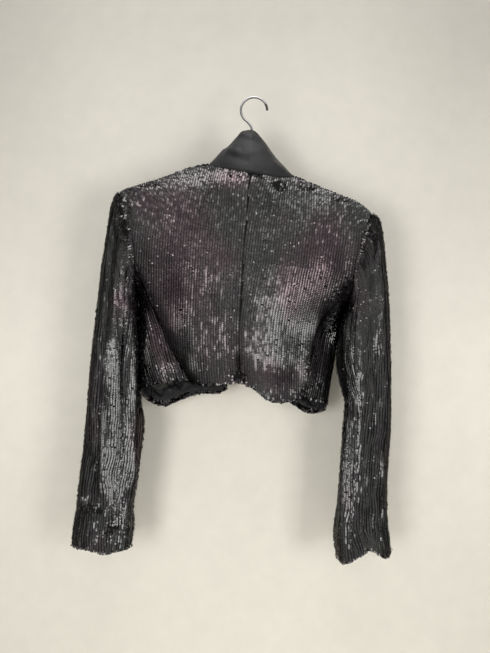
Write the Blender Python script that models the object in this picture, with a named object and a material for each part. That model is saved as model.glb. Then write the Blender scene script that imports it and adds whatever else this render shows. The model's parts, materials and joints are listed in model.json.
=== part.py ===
"""Cropped sequin blazer hanging on a plain hanger, with its back to -Y.

The origin is the inside crown of the hanger's hook, +X is the wearer's right and +Z is up. The garment is
cut as a tailor cuts it: two backs, two sides, two fronts, two-piece sleeves, a stand collar, lapels and the
strips of lining that show inside the fronts. Every panel is a wall of even thickness. Panels that share a seam
share its points and its normals, and each one stops half a seam gap short of it. The tables are in millimetres.
"""
import math

import bpy
import numpy as np

MM = 0.001
WALL = 2.0
SEAM_GAP = 0.9
SLEEVE_CLEARANCE = 3.0
LINING_WALL = 1.0
COLLECTION = "Cropped sequin blazer on a hanger"

# Stations count down the body: 0 at the shoulder, UNDERARM at the foot of the armhole, HEM at the hem
UNDERARM = 4
HEM = 8
ROWS_ABOVE = 9
ROWS_BELOW = 9
NECK_COLUMNS = 5
SHOULDER_COLUMNS = 9
SIDE_COLUMNS = 14
BACK_BULGE = 7.0
FRONT_BULGE = 6.0
FOLD_OPENING = 0.7

# Where the side seam leaves the armhole, as an angle round the loop from the shoulder tip over the back
BACK_SEAM_ANGLE = math.radians(115)
FRONT_SEAM_ANGLE = math.radians(245)
LOOP_SQUARENESS = 0.82

# Sleeve seams, as angles round the sleeve from its outer side over the back
ELBOW_SEAM = math.radians(118)
FOREARM_SEAM = math.radians(242)
UPPER_COLUMNS = 16
UNDER_COLUMNS = 8
SLEEVE_ROWS = 26

# Centre back seam, one row for each station: x, y, z
CENTRE_BACK = [
    (-5, -30, -129),
    (-10, -38, -158),
    (-12, -45, -196),
    (-15, -50, -235),
    (-18, -54, -275),
    (-20.5, -57, -318),
    (-23, -60, -365),
    (-24, -60, -415),
    (-21, -56, -466),
]

LEFT = {
    "sign": -1,
    # Armhole: shoulder tip and underarm (x, y, z), half its depth, how far its middle cuts into the panels
    "tip": (-221, 0, -158),
    "underarm": (-194, 2, -322),
    "half_depth": 44,
    "cut_in": 11,
    # Neck seam from the centre back to the neck point: x, y, z
    "neck_seam": [(-5, -30, -129), (-24, -27, -126), (-42, -21, -122), (-60, -11, -116), (-75, 0, -112)],
    # Shoulder line from the neck point to the tip: x, y, z
    "shoulder": [(-75, 0, -112), (-106, 0, -116), (-156, 0, -135), (-204, 0, -150), (-221, 0, -158)],
    # Side seam below the armhole, on the crest of the side fold, one row for each station: x, y, z
    "side_seam": [(-176, -37, -312), (-157, -36, -362), (-132, -38, -418), (-103, -40, -466)],
    # Hem of the back from the centre to the side seam: x, y, z
    "back_hem": [(-21, -56, -466), (-34, -55, -465), (-62, -53, -468), (-86, -49, -469), (-103, -40, -466)],
    # Hem of the side: into the fold, out to the side and round to the front: x, y, z
    "side_hem": [
        (-103, -40, -466), (-99, -30, -465), (-102, -19, -464), (-118, -19, -464), (-136, -23, -467),
        (-154, -20, -469), (-172, -11, -473), (-185, 0, -478), (-189, 12, -484), (-187, 26, -494),
        (-179, 38, -505),
    ],
    # Seam between side and front, one row for each station below the armhole: x, y, z
    "front_seam": [(-187, 45, -325), (-185, 47, -378), (-183, 45, -438), (-179, 38, -505)],
    # Front edge from the neck point to the hem, one row for each station: x, y, z
    "front_edge": [
        (-75, 0, -112), (-68, 17, -138), (-60, 29, -178), (-54, 37, -222), (-49, 42, -272),
        (-45, 45, -325), (-43, 46, -380), (-42, 46, -435), (-46, 45, -484),
    ],
    # Hem of the front from the front edge to the side: x, y, z
    "front_hem": [
        (-46, 45, -484), (-56, 47, -491), (-75, 49, -493), (-98, 50, -494), (-122, 50, -502),
        (-148, 48, -513), (-165, 44, -512), (-179, 38, -505),
    ],
    # Sleeve sections: outer x, z, inner x, z, half depth, inner y, cut in
    "sleeve": [
        (-225.5, -158, -195.2, -331, 45, 4, 8),
        (-232.5, -168, -195.5, -340, 47, 7, 3),
        (-237.5, -190, -195.5, -352, 48, 10, 0),
        (-242.5, -222, -195, -367, 48, 13, 0),
        (-248, -262, -194.5, -387, 47, 15, 0),
        (-254.5, -312, -194, -412, 45, 16, 0),
        (-262, -370, -193.5, -442, 42, 16, 0),
        (-269, -434, -193, -477, 40, 14, 0),
        (-274, -496, -189, -512, 38, 10, 0),
        (-279, -548, -184, -542, 36, 6, 0),
        (-283, -592, -189, -590, 34, 4, 0),
        (-289, -633, -195, -635, 32, 2, 0),
        (-294, -678, -201, -678, 29, 1, 0),
        (-299, -708, -200, -706, 27, 0, 0),
        (-302, -736, -204, -740, 26, 0, 0),
    ],
    # Drop of the cuff's edge: place from the outer (0) to the inner side (1), drop
    "cuff": [(0.0, 0), (0.2, 1), (0.4, 2), (0.62, 8), (0.75, 4), (1.0, 0)],
    # Sleeve folds: first row, angle; last row, angle (degrees); depth, half width. Ridges have minus depths
    "sleeve_folds": [
        (1.0, 62, 11.0, 66, 5.0, 17),
        (6.5, 128, 13.5, 104, 6.0, 13),
        (7.0, 92, 13.0, 84, -3.5, 12),
        (10.2, 30, 12.8, 84, 5.0, 15),
        (5.0, 286, 13.0, 300, 5.0, 17),
        (7.5, 236, 12.5, 254, 4.0, 14),
    ],
    # Back folds: first station, share of the width; last station, share; depth, half width as a share
    "back_folds": [
        (4.2, 0.84, 7.8, 0.66, 4.0, 0.09),
        (4.8, 0.16, 7.9, 0.12, -3.0, 0.10),
    ],
    # Side folds, in the same columns
    "side_folds": [(4.6, 0.40, 7.6, 0.36, 4.0, 0.07)],
    # How far out the side may stand beside the sleeve: z, x
    "side_reach": [(-510, -189), (-450, -190.3), (-360, -191.5), (-322, -192.5)],
}

RIGHT = {
    "sign": 1,
    "tip": (193, 0, -193),
    "underarm": (157, 2, -338),
    "half_depth": 46,
    "cut_in": 9,
    "neck_seam": [(-5, -30, -129), (16, -27, -132), (34, -21, -134), (52, -11, -133), (66, 0, -130)],
    "shoulder": [(66, 0, -130), (93, 0, -142), (143, 0, -162), (171, 0, -174), (193, 0, -193)],
    "side_seam": [(134, -42, -328), (104, -38, -368), (92, -39, -425), (81, -42, -484)],
    "back_hem": [(-21, -56, -466), (2, -57, -476), (20, -55, -491), (42, -53, -496), (64, -49, -492), (81, -42, -484)],
    "side_hem": [
        (81, -42, -484), (77, -32, -485), (74, -18, -487), (80, -6, -491), (94, 0, -497),
        (109, 5, -501), (120, 11, -505), (124, 19, -510), (121, 27, -518), (113, 33, -524),
    ],
    "front_seam": [(146, 45, -342), (136, 44, -390), (127, 41, -452), (113, 33, -524)],
    "front_edge": [
        (66, 0, -130), (62, 17, -155), (56, 29, -194), (50, 37, -238), (45, 42, -288),
        (41, 45, -340), (38, 46, -395), (36, 46, -446), (38, 45, -492),
    ],
    "front_hem": [
        (38, 45, -492), (46, 46, -499), (58, 46, -505), (72, 44, -513), (87, 41, -523),
        (101, 37, -526), (113, 33, -524),
    ],
    "sleeve": [
        (199, -194, 156.5, -346, 47, 5, 6),
        (205.5, -200.5, 154, -354, 48, 9, 3),
        (210, -214, 151, -363, 48, 12, 0),
        (213, -239, 148, -375, 48, 15, 0),
        (216.5, -272, 145, -391, 46, 18, 0),
        (220.5, -318, 142, -414, 44, 19, 0),
        (224, -372, 140, -442, 42, 18, 0),
        (225.5, -430, 145, -474, 41, 12, 0),
        (225.5, -490, 152, -504, 39, 7, 0),
        (225, -548, 149, -546, 37, 4, 0),
        (222.5, -592, 146, -592, 35, 3, 0),
        (220, -632, 142.5, -635, 33, 2, 0),
        (220, -672, 139, -675, 31, 1, 0),
        (221.5, -708, 132, -714, 28, 0, 0),
        (226, -744, 136, -751, 26, 0, 0),
    ],
    "cuff": [(0.0, 2), (0.1, 11), (0.25, 3), (0.42, -9), (0.6, 0), (0.8, 12), (0.93, 13), (1.0, 5)],
    "sleeve_folds": [
        (5.5, 78, 13.0, 74, 4.0, 13),
        (5.0, 116, 12.0, 122, -3.5, 13),
        (3.0, 48, 10.0, 44, -3.0, 13),
        (4.0, 290, 13.0, 296, 5.0, 17),
        (8.0, 238, 12.5, 250, 4.0, 14),
    ],
    "back_folds": [
        (3.6, 0.90, 7.6, 0.70, 4.5, 0.09),
        (4.4, 0.45, 7.8, 0.40, -3.0, 0.12),
    ],
    "side_folds": [],
    "side_reach": [
        (-530, 124), (-510, 125), (-474, 132), (-442, 137), (-414, 139.2), (-391, 142), (-375, 144.5),
        (-363, 147.5), (-350, 152), (-338, 156),
    ],
}

# Collar, from the left front over the neck point, the centre back and the right neck point to the right front:
# place of its seam on the neck edge, then the free edge x, y, z. The place is minus on the left; 1 is the neck
# point and what is past it counts stations down the front edge
COLLAR = [
    (-2.15, -62, 27, -152),
    (-1.6, -56, 16, -119),
    (-1.0, -52, 4, -88),
    (-0.72, -42, -3, -82),
    (-0.36, -21, -7, -61),
    (0.0, -3, -8, -56),
    (0.3, 11, -7, -69),
    (0.62, 34, -3, -99),
    (1.0, 58, 5, -124),
    (1.5, 55, 14, -139),
    (1.95, 54, 25, -158),
]
COLLAR_WALL = 2.4
COLLAR_COLUMNS = 4
COLLAR_ROWS = 6
COLLAR_BULGE = 5.0

# Lapel, lying on the front along its edge: station, first and last share of the front's width
LAPEL = [
    (0.3, 0.10, 0.24), (1.3, 0.11, 0.34), (2.0, 0.02, 0.38), (3.2, 0.0, 0.38), (4.4, 0.0, 0.32),
    (5.6, 0.0, 0.23), (6.6, 0.0, 0.16), (7.6, 0.0, 0.10),
]
LAPEL_ROWS = 16
LAPEL_COLUMNS = 3

# Lining that shows inside the fronts: first and last station, first and last share of the width
LINING = {"first": 6.6, "last": 7.86, "inner": 0.04, "outer": 0.97, "rows": 4, "columns": 10}

# Hanger bar: a round bar under the shoulder lines, up to its neck at the hook: x, z
BAR_RADIUS = 5.5
BAR = [
    (-207, -167), (-156, -147), (-106, -131), (-82, -129), (-52, -115), (-22, -82), (-3, -70),
    (14, -84), (36, -118), (60, -144), (92, -155), (143, -174), (178, -193),
]
BAR_STEPS = 26

# Hook: a round wire, in the plane of the hanger
WIRE_RADIUS = 2.0
HOOK_RADIUS = 21.8
HOOK_END_ANGLE = 4
HOOK_TURN_ANGLE = 222
HOOK_STEP = 11
STEM = [(-11.0, -38.8), (-7.2, -43.2), (-4.6, -48.0), (-3.6, -54.0), (-3.2, -60.0), (-3.0, -63.6)]

# Colours as red, green, blue, then roughness and metallic
FINISHES = {
    "sequins": ((0.085, 0.078, 0.082), 0.35, 0.4),
    "satin": ((0.030, 0.030, 0.031), 0.42, 0.0),
    "lining": ((0.022, 0.022, 0.023), 0.5, 0.0),
    "plastic": ((0.02, 0.02, 0.02), 0.5, 0.0),
    "chrome": ((0.78, 0.78, 0.79), 0.15, 1.0),
}


def clear_scene():
    for obj in list(bpy.data.objects):
        bpy.data.objects.remove(obj, do_unlink=True)


def material(name):
    """The finish of one piece, as a Principled material."""
    made = bpy.data.materials.get(name)
    if made:
        return made
    colour, roughness, metallic = FINISHES[name]
    made = bpy.data.materials.new(name)
    made.use_nodes = True
    shader = made.node_tree.nodes["Principled BSDF"]
    shader.inputs["Base Color"].default_value = (*colour, 1.0)
    shader.inputs["Roughness"].default_value = roughness
    shader.inputs["Metallic"].default_value = metallic
    return made


def along(table, t):
    """The smooth curve through the rows of a table, read at row number t."""
    rows = np.asarray(table, float)
    last = len(rows) - 1
    t = min(max(t, 0.0), float(last))
    i = min(int(t), last - 1)
    f = t - i
    before = rows[i - 1] if i > 0 else 2 * rows[0] - rows[1]
    after = rows[i + 2] if i + 2 <= last else 2 * rows[last] - rows[last - 1]
    a, b = rows[i], rows[i + 1]
    linear = (b - before) * f
    square = (2 * before - 5 * a + 4 * b - after) * f * f
    cube = (3 * a - before - 3 * b + after) * f ** 3
    return 0.5 * (2 * a + linear + square + cube)


def share(table, u):
    """The same curve, read at a share of its length in rows."""
    return along(table, u * (len(table) - 1))


def smoothstep(low, high, value):
    t = min(max((value - low) / (high - low), 0.0), 1.0)
    return t * t * (3 - 2 * t)


def lookup(table, value):
    """The columns after the first, between the two rows that the first column places value in."""
    rows = np.asarray(table, float)
    return np.array([np.interp(value, rows[:, 0], rows[:, k]) for k in range(1, rows.shape[1])])


def loop_section(high, low, half_depth, cut_in, angle):
    """A point on a closed section, round from its high or outer end over the back."""
    high, low = np.asarray(high, float), np.asarray(low, float)
    middle = (high + low) / 2
    across = math.sin(angle)
    reach = math.copysign(abs(across) ** LOOP_SQUARENESS, across)
    point = middle + (high - middle) * math.cos(angle)
    point[1] -= half_depth * reach
    point[0] += cut_in * across * across
    return point


def armhole(side, angle):
    return loop_section(
        side["tip"], side["underarm"], side["half_depth"], -side["sign"] * side["cut_in"], angle
    )


def back_edge(side, s):
    """Outer edge of the back: down the armhole, then down the side seam."""
    if s <= UNDERARM:
        return armhole(side, BACK_SEAM_ANGLE * s / UNDERARM)
    return along([armhole(side, BACK_SEAM_ANGLE), *side["side_seam"]], s - UNDERARM)


def front_outer_edge(side, s):
    """Outer edge of the front: down the armhole, then down its seam with the side."""
    if s <= UNDERARM:
        return armhole(side, 2 * math.pi + (FRONT_SEAM_ANGLE - 2 * math.pi) * s / UNDERARM)
    return along([armhole(side, FRONT_SEAM_ANGLE), *side["front_seam"]], s - UNDERARM)


def patch(first, last, top, bottom, u, top_share, bottom_share):
    """A point inside four edges: two side points, and what the top and bottom edges add."""
    lean_top = top(u) - ((1 - u) * top(0.0) + u * top(1.0))
    lean_bottom = bottom(u) - ((1 - u) * bottom(0.0) + u * bottom(1.0))
    return (1 - u) * first + u * last + top_share * lean_top + bottom_share * lean_bottom


def back_point(side, u, s):
    neck_share = NECK_COLUMNS / (NECK_COLUMNS + SHOULDER_COLUMNS)

    def top(at):
        if at <= neck_share:
            return share(side["neck_seam"], at / neck_share)
        return share(side["shoulder"], (at - neck_share) / (1 - neck_share))

    def bottom(at):
        return share(side["back_hem"], at)

    v = s / HEM
    point = patch(
        along(CENTRE_BACK, s), back_edge(side, s), top, bottom, u,
        1 - smoothstep(0.0, 0.5, v), smoothstep(0.5, 1.0, v),
    )
    point[1] -= BACK_BULGE * math.sin(math.pi * u) * smoothstep(0.1, 0.5, v)
    return point


def front_point(side, u, s):
    def top(at):
        return share(side["shoulder"], at)

    def bottom(at):
        return share(side["front_hem"], at)

    v = s / HEM
    point = patch(
        along(side["front_edge"], s), front_outer_edge(side, s), top, bottom, u,
        1 - smoothstep(0.0, 0.5, v), smoothstep(0.45, 1.0, v),
    )
    point[1] += FRONT_BULGE * math.sin(math.pi * u) * smoothstep(0.05, 0.4, v) * (1 - smoothstep(0.8, 1.0, v))
    return point


def side_point(side, u, s):
    def top(at):
        return armhole(side, BACK_SEAM_ANGLE + (FRONT_SEAM_ANGLE - BACK_SEAM_ANGLE) * at)

    def bottom(at):
        return share(side["side_hem"], at)

    w = (s - UNDERARM) / (HEM - UNDERARM)
    first, last = back_edge(side, s), front_outer_edge(side, s)
    opened = w ** FOLD_OPENING
    point = patch(first, last, top, bottom, u, 1 - opened, opened)
    if 0.0 < u < 1.0 and w > 0.0:
        below_armhole = side["sign"] * top(u)[0] - SLEEVE_CLEARANCE * smoothstep(0.0, 0.15, w)
        beside_sleeve = side["sign"] * lookup(side["side_reach"], point[2])[0]
        point[0] = side["sign"] * min(side["sign"] * point[0], below_armhole, beside_sleeve)
    return point


def stations():
    above = [UNDERARM * (i / ROWS_ABOVE) ** 1.1 for i in range(ROWS_ABOVE)]
    below = [UNDERARM + (HEM - UNDERARM) * i / ROWS_BELOW for i in range(ROWS_BELOW + 1)]
    return above + below


def body_grid(point, side, rows, columns):
    return np.array([[point(side, c / columns, s) for c in range(columns + 1)] for s in rows])


def sleeve_section(side, row, angle):
    """A point of the sleeve's section number row; row 0 is the armhole."""
    first = armhole(side, angle)
    if row <= 0:
        return first
    outer_x, outer_z, inner_x, inner_z, half_depth, inner_y, cut_in = along(
        [
            (side["tip"][0], side["tip"][2], side["underarm"][0], side["underarm"][2],
             side["half_depth"], side["underarm"][1], side["cut_in"]),
            *side["sleeve"],
        ],
        row,
    )
    return loop_section(
        (outer_x, 0, outer_z), (inner_x, inner_y, inner_z), half_depth, -side["sign"] * cut_in, angle
    )


def sleeve_angles():
    """Angles round the sleeve: the under sleeve's first, then on round the upper sleeve to the start."""
    under = np.linspace(ELBOW_SEAM, FOREARM_SEAM, UNDER_COLUMNS + 1)
    upper = np.linspace(FOREARM_SEAM, ELBOW_SEAM + 2 * math.pi, UPPER_COLUMNS + 1)
    return np.concatenate([under, upper[1:]])


def sleeve_grid(side):
    last = len(side["sleeve"])
    rows = [last * (i / SLEEVE_ROWS) ** 0.95 for i in range(SLEEVE_ROWS + 1)]
    grid = np.array([[sleeve_section(side, row, angle) for angle in sleeve_angles()] for row in rows])
    for i, row in enumerate(rows):
        near_cuff = smoothstep(last - 2.0, last, row)
        for j, angle in enumerate(sleeve_angles()):
            place = (1 - math.cos(angle)) / 2
            grid[i, j, 2] -= near_cuff * lookup(side["cuff"], place)[0]
    return grid, rows


def fold_depth(folds, row, place, turn=None):
    """How far in a fold table pushes the point at this row and place. A turn wraps places round."""
    depth = 0.0
    for first, first_place, last, last_place, deep, half_width in folds:
        middle = np.interp(row, (first, last), (first_place, last_place))
        off = place - middle
        if turn:
            off = (off + turn / 2) % turn - turn / 2
        ends = smoothstep(first - 0.9, first + 0.9, row) * (1 - smoothstep(last - 0.9, last + 0.9, row))
        depth += deep * ends * math.exp(-((off / half_width) ** 2))
    return depth


def quad_normals(grid):
    across = grid[1:, 1:] - grid[:-1, :-1]
    other = grid[:-1, 1:] - grid[1:, :-1]
    return np.cross(other, across)


def shared_normals(grids, flips):
    """Normals at every grid point, the same for all points at one place, so that walls meet along a seam."""
    sums = {}
    for name, grid in grids.items():
        faces = quad_normals(grid) * (-1 if flips[name] else 1)
        keys = np.round(grid, 3)
        for i in range(faces.shape[0]):
            for j in range(faces.shape[1]):
                for corner in ((i, j), (i + 1, j), (i, j + 1), (i + 1, j + 1)):
                    key = tuple(keys[corner])
                    sums[key] = sums.get(key, np.zeros(3)) + faces[i, j]
    normals = {}
    for name, grid in grids.items():
        keys = np.round(grid, 3)
        found = np.array([[sums[tuple(key)] for key in line] for line in keys])
        normals[name] = found / np.linalg.norm(found, axis=2, keepdims=True)
    return normals


def pull_back(grid, gap, edges):
    """Moves the named edges of a grid in by half a seam gap."""
    grid = grid.copy()
    moves = {
        "top": (np.s_[0, :], np.s_[1, :]),
        "bottom": (np.s_[-1, :], np.s_[-2, :]),
        "first": (np.s_[:, 0], np.s_[:, 1]),
        "last": (np.s_[:, -1], np.s_[:, -2]),
    }
    steps = []
    for edge in edges:
        at, inside = moves[edge]
        way = grid[inside] - grid[at]
        steps.append((at, way / np.linalg.norm(way, axis=-1, keepdims=True)))
    for at, way in steps:
        grid[at] += way * gap / 2
    return grid


def wall(name, outer, inner, flip, finish, parts):
    """A closed wall between two grids of the same size."""
    rows, columns = outer.shape[:2]
    count = rows * columns
    points = np.concatenate([outer.reshape(-1, 3), inner.reshape(-1, 3)]) * MM

    def at(i, j, layer):
        return layer * count + i * columns + j

    faces = []
    for i in range(rows - 1):
        for j in range(columns - 1):
            quad = [at(i, j, 0), at(i + 1, j, 0), at(i + 1, j + 1, 0), at(i, j + 1, 0)]
            faces.append(quad)
            faces.append([p + count for p in reversed(quad)])
    rim = [(0, j) for j in range(columns)] + [(i, columns - 1) for i in range(1, rows)]
    rim += [(rows - 1, j) for j in range(columns - 2, -1, -1)] + [(i, 0) for i in range(rows - 2, 0, -1)]
    for here, there in zip(rim, rim[1:] + rim[:1]):
        faces.append([at(*here, 0), at(*there, 0), at(*there, 1), at(*here, 1)])
    if not flip:
        faces = [face[::-1] for face in faces]
    mesh = bpy.data.meshes.new(name)
    mesh.from_pydata(points.tolist(), [], faces)
    mesh.materials.append(material(finish))
    mesh.shade_smooth()
    mesh.set_sharp_from_angle(angle=math.radians(50))
    obj = bpy.data.objects.new(name, mesh)
    parts.objects.link(obj)
    return obj


def body_panels(side):
    """Outer points of the three panels of one side, with their folds pressed in."""
    rows = stations()
    below = [s for s in rows if s >= UNDERARM]
    grids = {
        "back": body_grid(back_point, side, rows, NECK_COLUMNS + SHOULDER_COLUMNS),
        "side": body_grid(side_point, side, below, SIDE_COLUMNS),
        "front": body_grid(front_point, side, rows, SHOULDER_COLUMNS),
    }
    flips = panel_flips(side)
    normals = shared_normals(grids, flips)
    for name, panel_rows in (("back", rows), ("side", below)):
        grid = grids[name]
        columns = grid.shape[1] - 1
        for i, s in enumerate(panel_rows):
            for j in range(1, columns):
                depth = fold_depth(side[name + "_folds"], s, j / columns)
                grid[i, j] -= normals[name][i, j] * depth * math.sin(math.pi * j / columns) ** 0.5
    return grids, flips


def panel_flips(side):
    right = side["sign"] > 0
    return {"back": right, "side": right, "front": not right}


def neck_edge(side, place):
    """A point of the collar's seam: up to 1 on the back's neck seam, past it down the front edge."""
    if place <= 1:
        return share(side["neck_seam"], place)
    return along(side["front_edge"], place - 1)


def collar_grid():
    places = []
    for here, there in zip(COLLAR, COLLAR[1:]):
        places += list(np.linspace(here[0], there[0], COLLAR_COLUMNS, endpoint=False))
    places.append(COLLAR[-1][0])
    known = [row[0] for row in COLLAR]
    grid = []
    for row in range(COLLAR_ROWS):
        up = row / (COLLAR_ROWS - 1)
        line = []
        for place in places:
            seam = neck_edge(LEFT if place < 0 else RIGHT, abs(place))
            free = along([r[1:] for r in COLLAR], np.interp(place, known, range(len(known))))
            point = (1 - up) * seam + up * free
            belly = COLLAR_BULGE * math.sin(math.pi * up) * smoothstep(1.3, 0.4, abs(place))
            point[1] -= belly
            line.append(point)
        grid.append(line)
    return np.array(grid)[::-1]


def make_body(parts):
    panels, flips = {}, {}
    for label, side in (("left", LEFT), ("right", RIGHT)):
        made, turned = body_panels(side)
        for name in made:
            panels[f"{name}_{label}"] = made[name]
            flips[f"{name}_{label}"] = turned[name]
    normals = shared_normals(panels, flips)
    edges = {
        "back": ("top", "first", "last"),
        "side": ("top", "first", "last"),
        "front": ("top", "last"),
    }
    for name, grid in panels.items():
        inner = grid - WALL * normals[name]
        seams = edges[name.split("_")[0]]
        outer = pull_back(grid, SEAM_GAP, seams)
        inner = pull_back(inner, SEAM_GAP, seams)
        wall(name, outer, inner, flips[name], "sequins", parts)
    return panels, normals, flips


def make_sleeves(parts):
    for label, side in (("left", LEFT), ("right", RIGHT)):
        grid, rows = sleeve_grid(side)
        flip = side["sign"] < 0
        angles = np.degrees(sleeve_angles())
        grid[:, -1] = grid[:, 0]
        base = shared_normals({"sleeve": grid}, {"sleeve": flip})["sleeve"]
        for i, row in enumerate(rows):
            for j, angle in enumerate(angles):
                depth = fold_depth(side["sleeve_folds"], row, angle, 360.0)
                grid[i, j] -= base[i, j] * depth
        grid[:, -1] = grid[:, 0]
        normals = shared_normals({"sleeve": grid}, {"sleeve": flip})["sleeve"]
        inner = grid - WALL * normals
        pieces = {"under": np.s_[:, : UNDER_COLUMNS + 1], "upper": np.s_[:, UNDER_COLUMNS:]}
        for piece, span in pieces.items():
            seams = ("top", "first", "last")
            outer_part = pull_back(grid[span], SEAM_GAP, seams)
            inner_part = pull_back(inner[span], SEAM_GAP, seams)
            wall(f"sleeve_{piece}_{label}", outer_part, inner_part, flip, "sequins", parts)


def make_collar(parts):
    grid = collar_grid()
    normals = shared_normals({"collar": grid}, {"collar": False})["collar"]
    lift = np.array([0, 0, SEAM_GAP])
    outer = grid + lift
    inner = outer - COLLAR_WALL * normals
    wall("collar", outer, inner, False, "satin", parts)


def sample(grid, u, v):
    """A point of a grid at a share of its columns and a row number, between its own points."""
    x = min(u * (grid.shape[1] - 1), grid.shape[1] - 1 - 1e-9)
    y = min(v, grid.shape[0] - 1 - 1e-9)
    i, j = int(y), int(x)
    fy, fx = y - i, x - j
    upper = grid[i, j] * (1 - fx) + grid[i, j + 1] * fx
    lower = grid[i + 1, j] * (1 - fx) + grid[i + 1, j + 1] * fx
    return upper * (1 - fy) + lower * fy


def laid_on(panel, normals, rows, columns, width, first, last, clear, thick):
    """Two grids that lie on a panel's points, moved out along its normals."""
    known = stations()
    low, high = [], []
    for i in range(rows + 1):
        s = first + (last - first) * i / rows
        v = np.interp(s, known, range(len(known)))
        start, stop = width(s)
        low.append([])
        high.append([])
        for j in range(columns + 1):
            u = start + (stop - start) * j / columns
            point, normal = sample(panel, u, v), sample(normals, u, v)
            normal = normal / np.linalg.norm(normal)
            low[-1].append(point + normal * clear)
            high[-1].append(point + normal * (clear + thick))
    return np.array(low), np.array(high)


def make_lapels_and_linings(parts, panels, normals, flips):
    def lapel_width(s):
        return lookup(LAPEL, s)

    def lining_width(s):
        return LINING["inner"], LINING["outer"]

    for label in ("left", "right"):
        name = f"front_{label}"
        low, high = laid_on(
            panels[name], normals[name], LAPEL_ROWS, LAPEL_COLUMNS, lapel_width,
            LAPEL[0][0], LAPEL[-1][0], SEAM_GAP, WALL,
        )
        wall(f"lapel_{label}", high, low, flips[name], "satin", parts)
        low, high = laid_on(
            panels[name], normals[name], LINING["rows"], LINING["columns"], lining_width,
            LINING["first"], LINING["last"], -WALL - SEAM_GAP - LINING_WALL, LINING_WALL,
        )
        wall(f"lining_{label}", high, low, flips[name], "lining", parts)


def tube(name, points, radius, finish, parts):
    """A round bar or wire through points, with closed ends."""
    curve = bpy.data.curves.new(name, "CURVE")
    curve.dimensions = "3D"
    curve.bevel_depth = radius * MM
    curve.bevel_resolution = 2
    curve.use_fill_caps = True
    line = curve.splines.new("POLY")
    line.points.add(len(points) - 1)
    for point, (x, y, z) in zip(line.points, points):
        point.co = (x * MM, y * MM, z * MM, 1)
    curve.materials.append(material(finish))
    obj = bpy.data.objects.new(name, curve)
    parts.objects.link(obj)
    return obj


def make_hanger(parts):
    line = [share(BAR, i / BAR_STEPS) for i in range(BAR_STEPS + 1)]
    tube("hanger_bar", [(x, 0, z) for x, z in line], BAR_RADIUS, "plastic", parts)
    crown = WIRE_RADIUS - HOOK_RADIUS
    points = []
    for degrees in range(HOOK_END_ANGLE, HOOK_TURN_ANGLE, HOOK_STEP):
        angle = math.radians(degrees)
        points.append((HOOK_RADIUS * math.cos(angle), 0, crown + HOOK_RADIUS * math.sin(angle)))
    points += [(x, 0, z) for x, z in STEM]
    tube("hanger_hook", points, WIRE_RADIUS, "chrome", parts)


def main():
    clear_scene()
    parts = bpy.data.collections.new(COLLECTION)
    bpy.context.scene.collection.children.link(parts)
    panels, normals, flips = make_body(parts)
    make_sleeves(parts)
    make_collar(parts)
    make_lapels_and_linings(parts, panels, normals, flips)
    make_hanger(parts)


main()
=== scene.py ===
"""Cropped sequin blazer on a plain hanger: the looks.

The garment hangs with its back to -Y, +X is the wearer's right, +Z is up and the origin is the inside crown
of the hanger's hook. Each panel is a thin shell on the same seams as its solid, with soft folds and creases
pressed in, and strands of sequins run down it. The tables are in millimetres; the mesh is in metres.
"""
import json
import math

import bpy
import numpy as np
from bpy.props import FloatProperty, FloatVectorProperty, IntProperty, PointerProperty
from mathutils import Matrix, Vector, noise


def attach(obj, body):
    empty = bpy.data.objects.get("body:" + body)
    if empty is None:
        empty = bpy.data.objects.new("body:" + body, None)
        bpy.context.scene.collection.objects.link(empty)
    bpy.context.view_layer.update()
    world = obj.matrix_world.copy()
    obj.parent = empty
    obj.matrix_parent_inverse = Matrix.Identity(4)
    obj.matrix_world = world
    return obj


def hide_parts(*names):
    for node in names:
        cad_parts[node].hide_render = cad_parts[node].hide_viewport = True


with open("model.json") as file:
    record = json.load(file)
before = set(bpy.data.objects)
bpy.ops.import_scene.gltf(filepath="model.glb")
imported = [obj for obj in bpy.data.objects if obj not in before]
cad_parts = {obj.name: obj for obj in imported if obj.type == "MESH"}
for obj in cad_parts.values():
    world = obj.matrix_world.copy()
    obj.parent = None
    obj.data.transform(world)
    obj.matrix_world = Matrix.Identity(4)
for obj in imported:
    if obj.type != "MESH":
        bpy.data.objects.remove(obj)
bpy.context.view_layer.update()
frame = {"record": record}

bl_info = {
    "name": "Cropped sequin blazer",
    "version": (1, 0, 0),
    "blender": (4, 5, 0),
    "location": "3D View > Sidebar > Blazer",
    "description": "Builds a cropped blazer with strands of sequins, on a plain hanger",
    "category": "Object",
}

MM = 0.001
BODY = "root"
SLOTS = {row["slot"]: row for row in frame["record"]["materials"]}

# Stations count down the body: 0 at the shoulder, UNDERARM at the foot of the armhole, HEM at the hem
UNDERARM = 4
HEM = 8
# The neck's share of a back's width
NECK_SHARE = 5 / 14
# How far backs and fronts bulge out, and the shares of their length over which that comes in and goes
BACK_BULGE = 7.0
FRONT_BULGE = 6.0
BACK_SWELL = (0.1, 0.5)
FRONT_SWELL = (0.05, 0.4)
FRONT_SWELL_END = (0.8, 1.0)
# Shares of the length over which the shape of the top edge fades out and that of the hem comes in
TOP_FADE = (0.0, 0.5)
BACK_HEM_RISE = (0.5, 1.0)
FRONT_HEM_RISE = (0.45, 1.0)
# The side's fold opens with this power of the way down. It stays this far inside the armhole's edge
# above it, fully so from the second of these shares on
FOLD_OPENING = 0.7
SLEEVE_CLEARANCE = 3.0
CLEAR_FROM = (0.0, 0.15)
# Seams round the armhole and the sleeve, as angles from the top over the back
BACK_SEAM_ANGLE = math.radians(115)
FRONT_SEAM_ANGLE = math.radians(245)
ELBOW_SEAM = math.radians(118)
FOREARM_SEAM = math.radians(242)
# Power of the sine in a section: below 1 it is squarer than an ellipse
LOOP_SQUARENESS = 0.82
# Last rows of the sleeve over which the cuff's edge takes its drop
CUFF_ROWS = 2.0
# Rows or stations over which a fold starts and ends
FOLD_ENDS = 0.9

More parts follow.
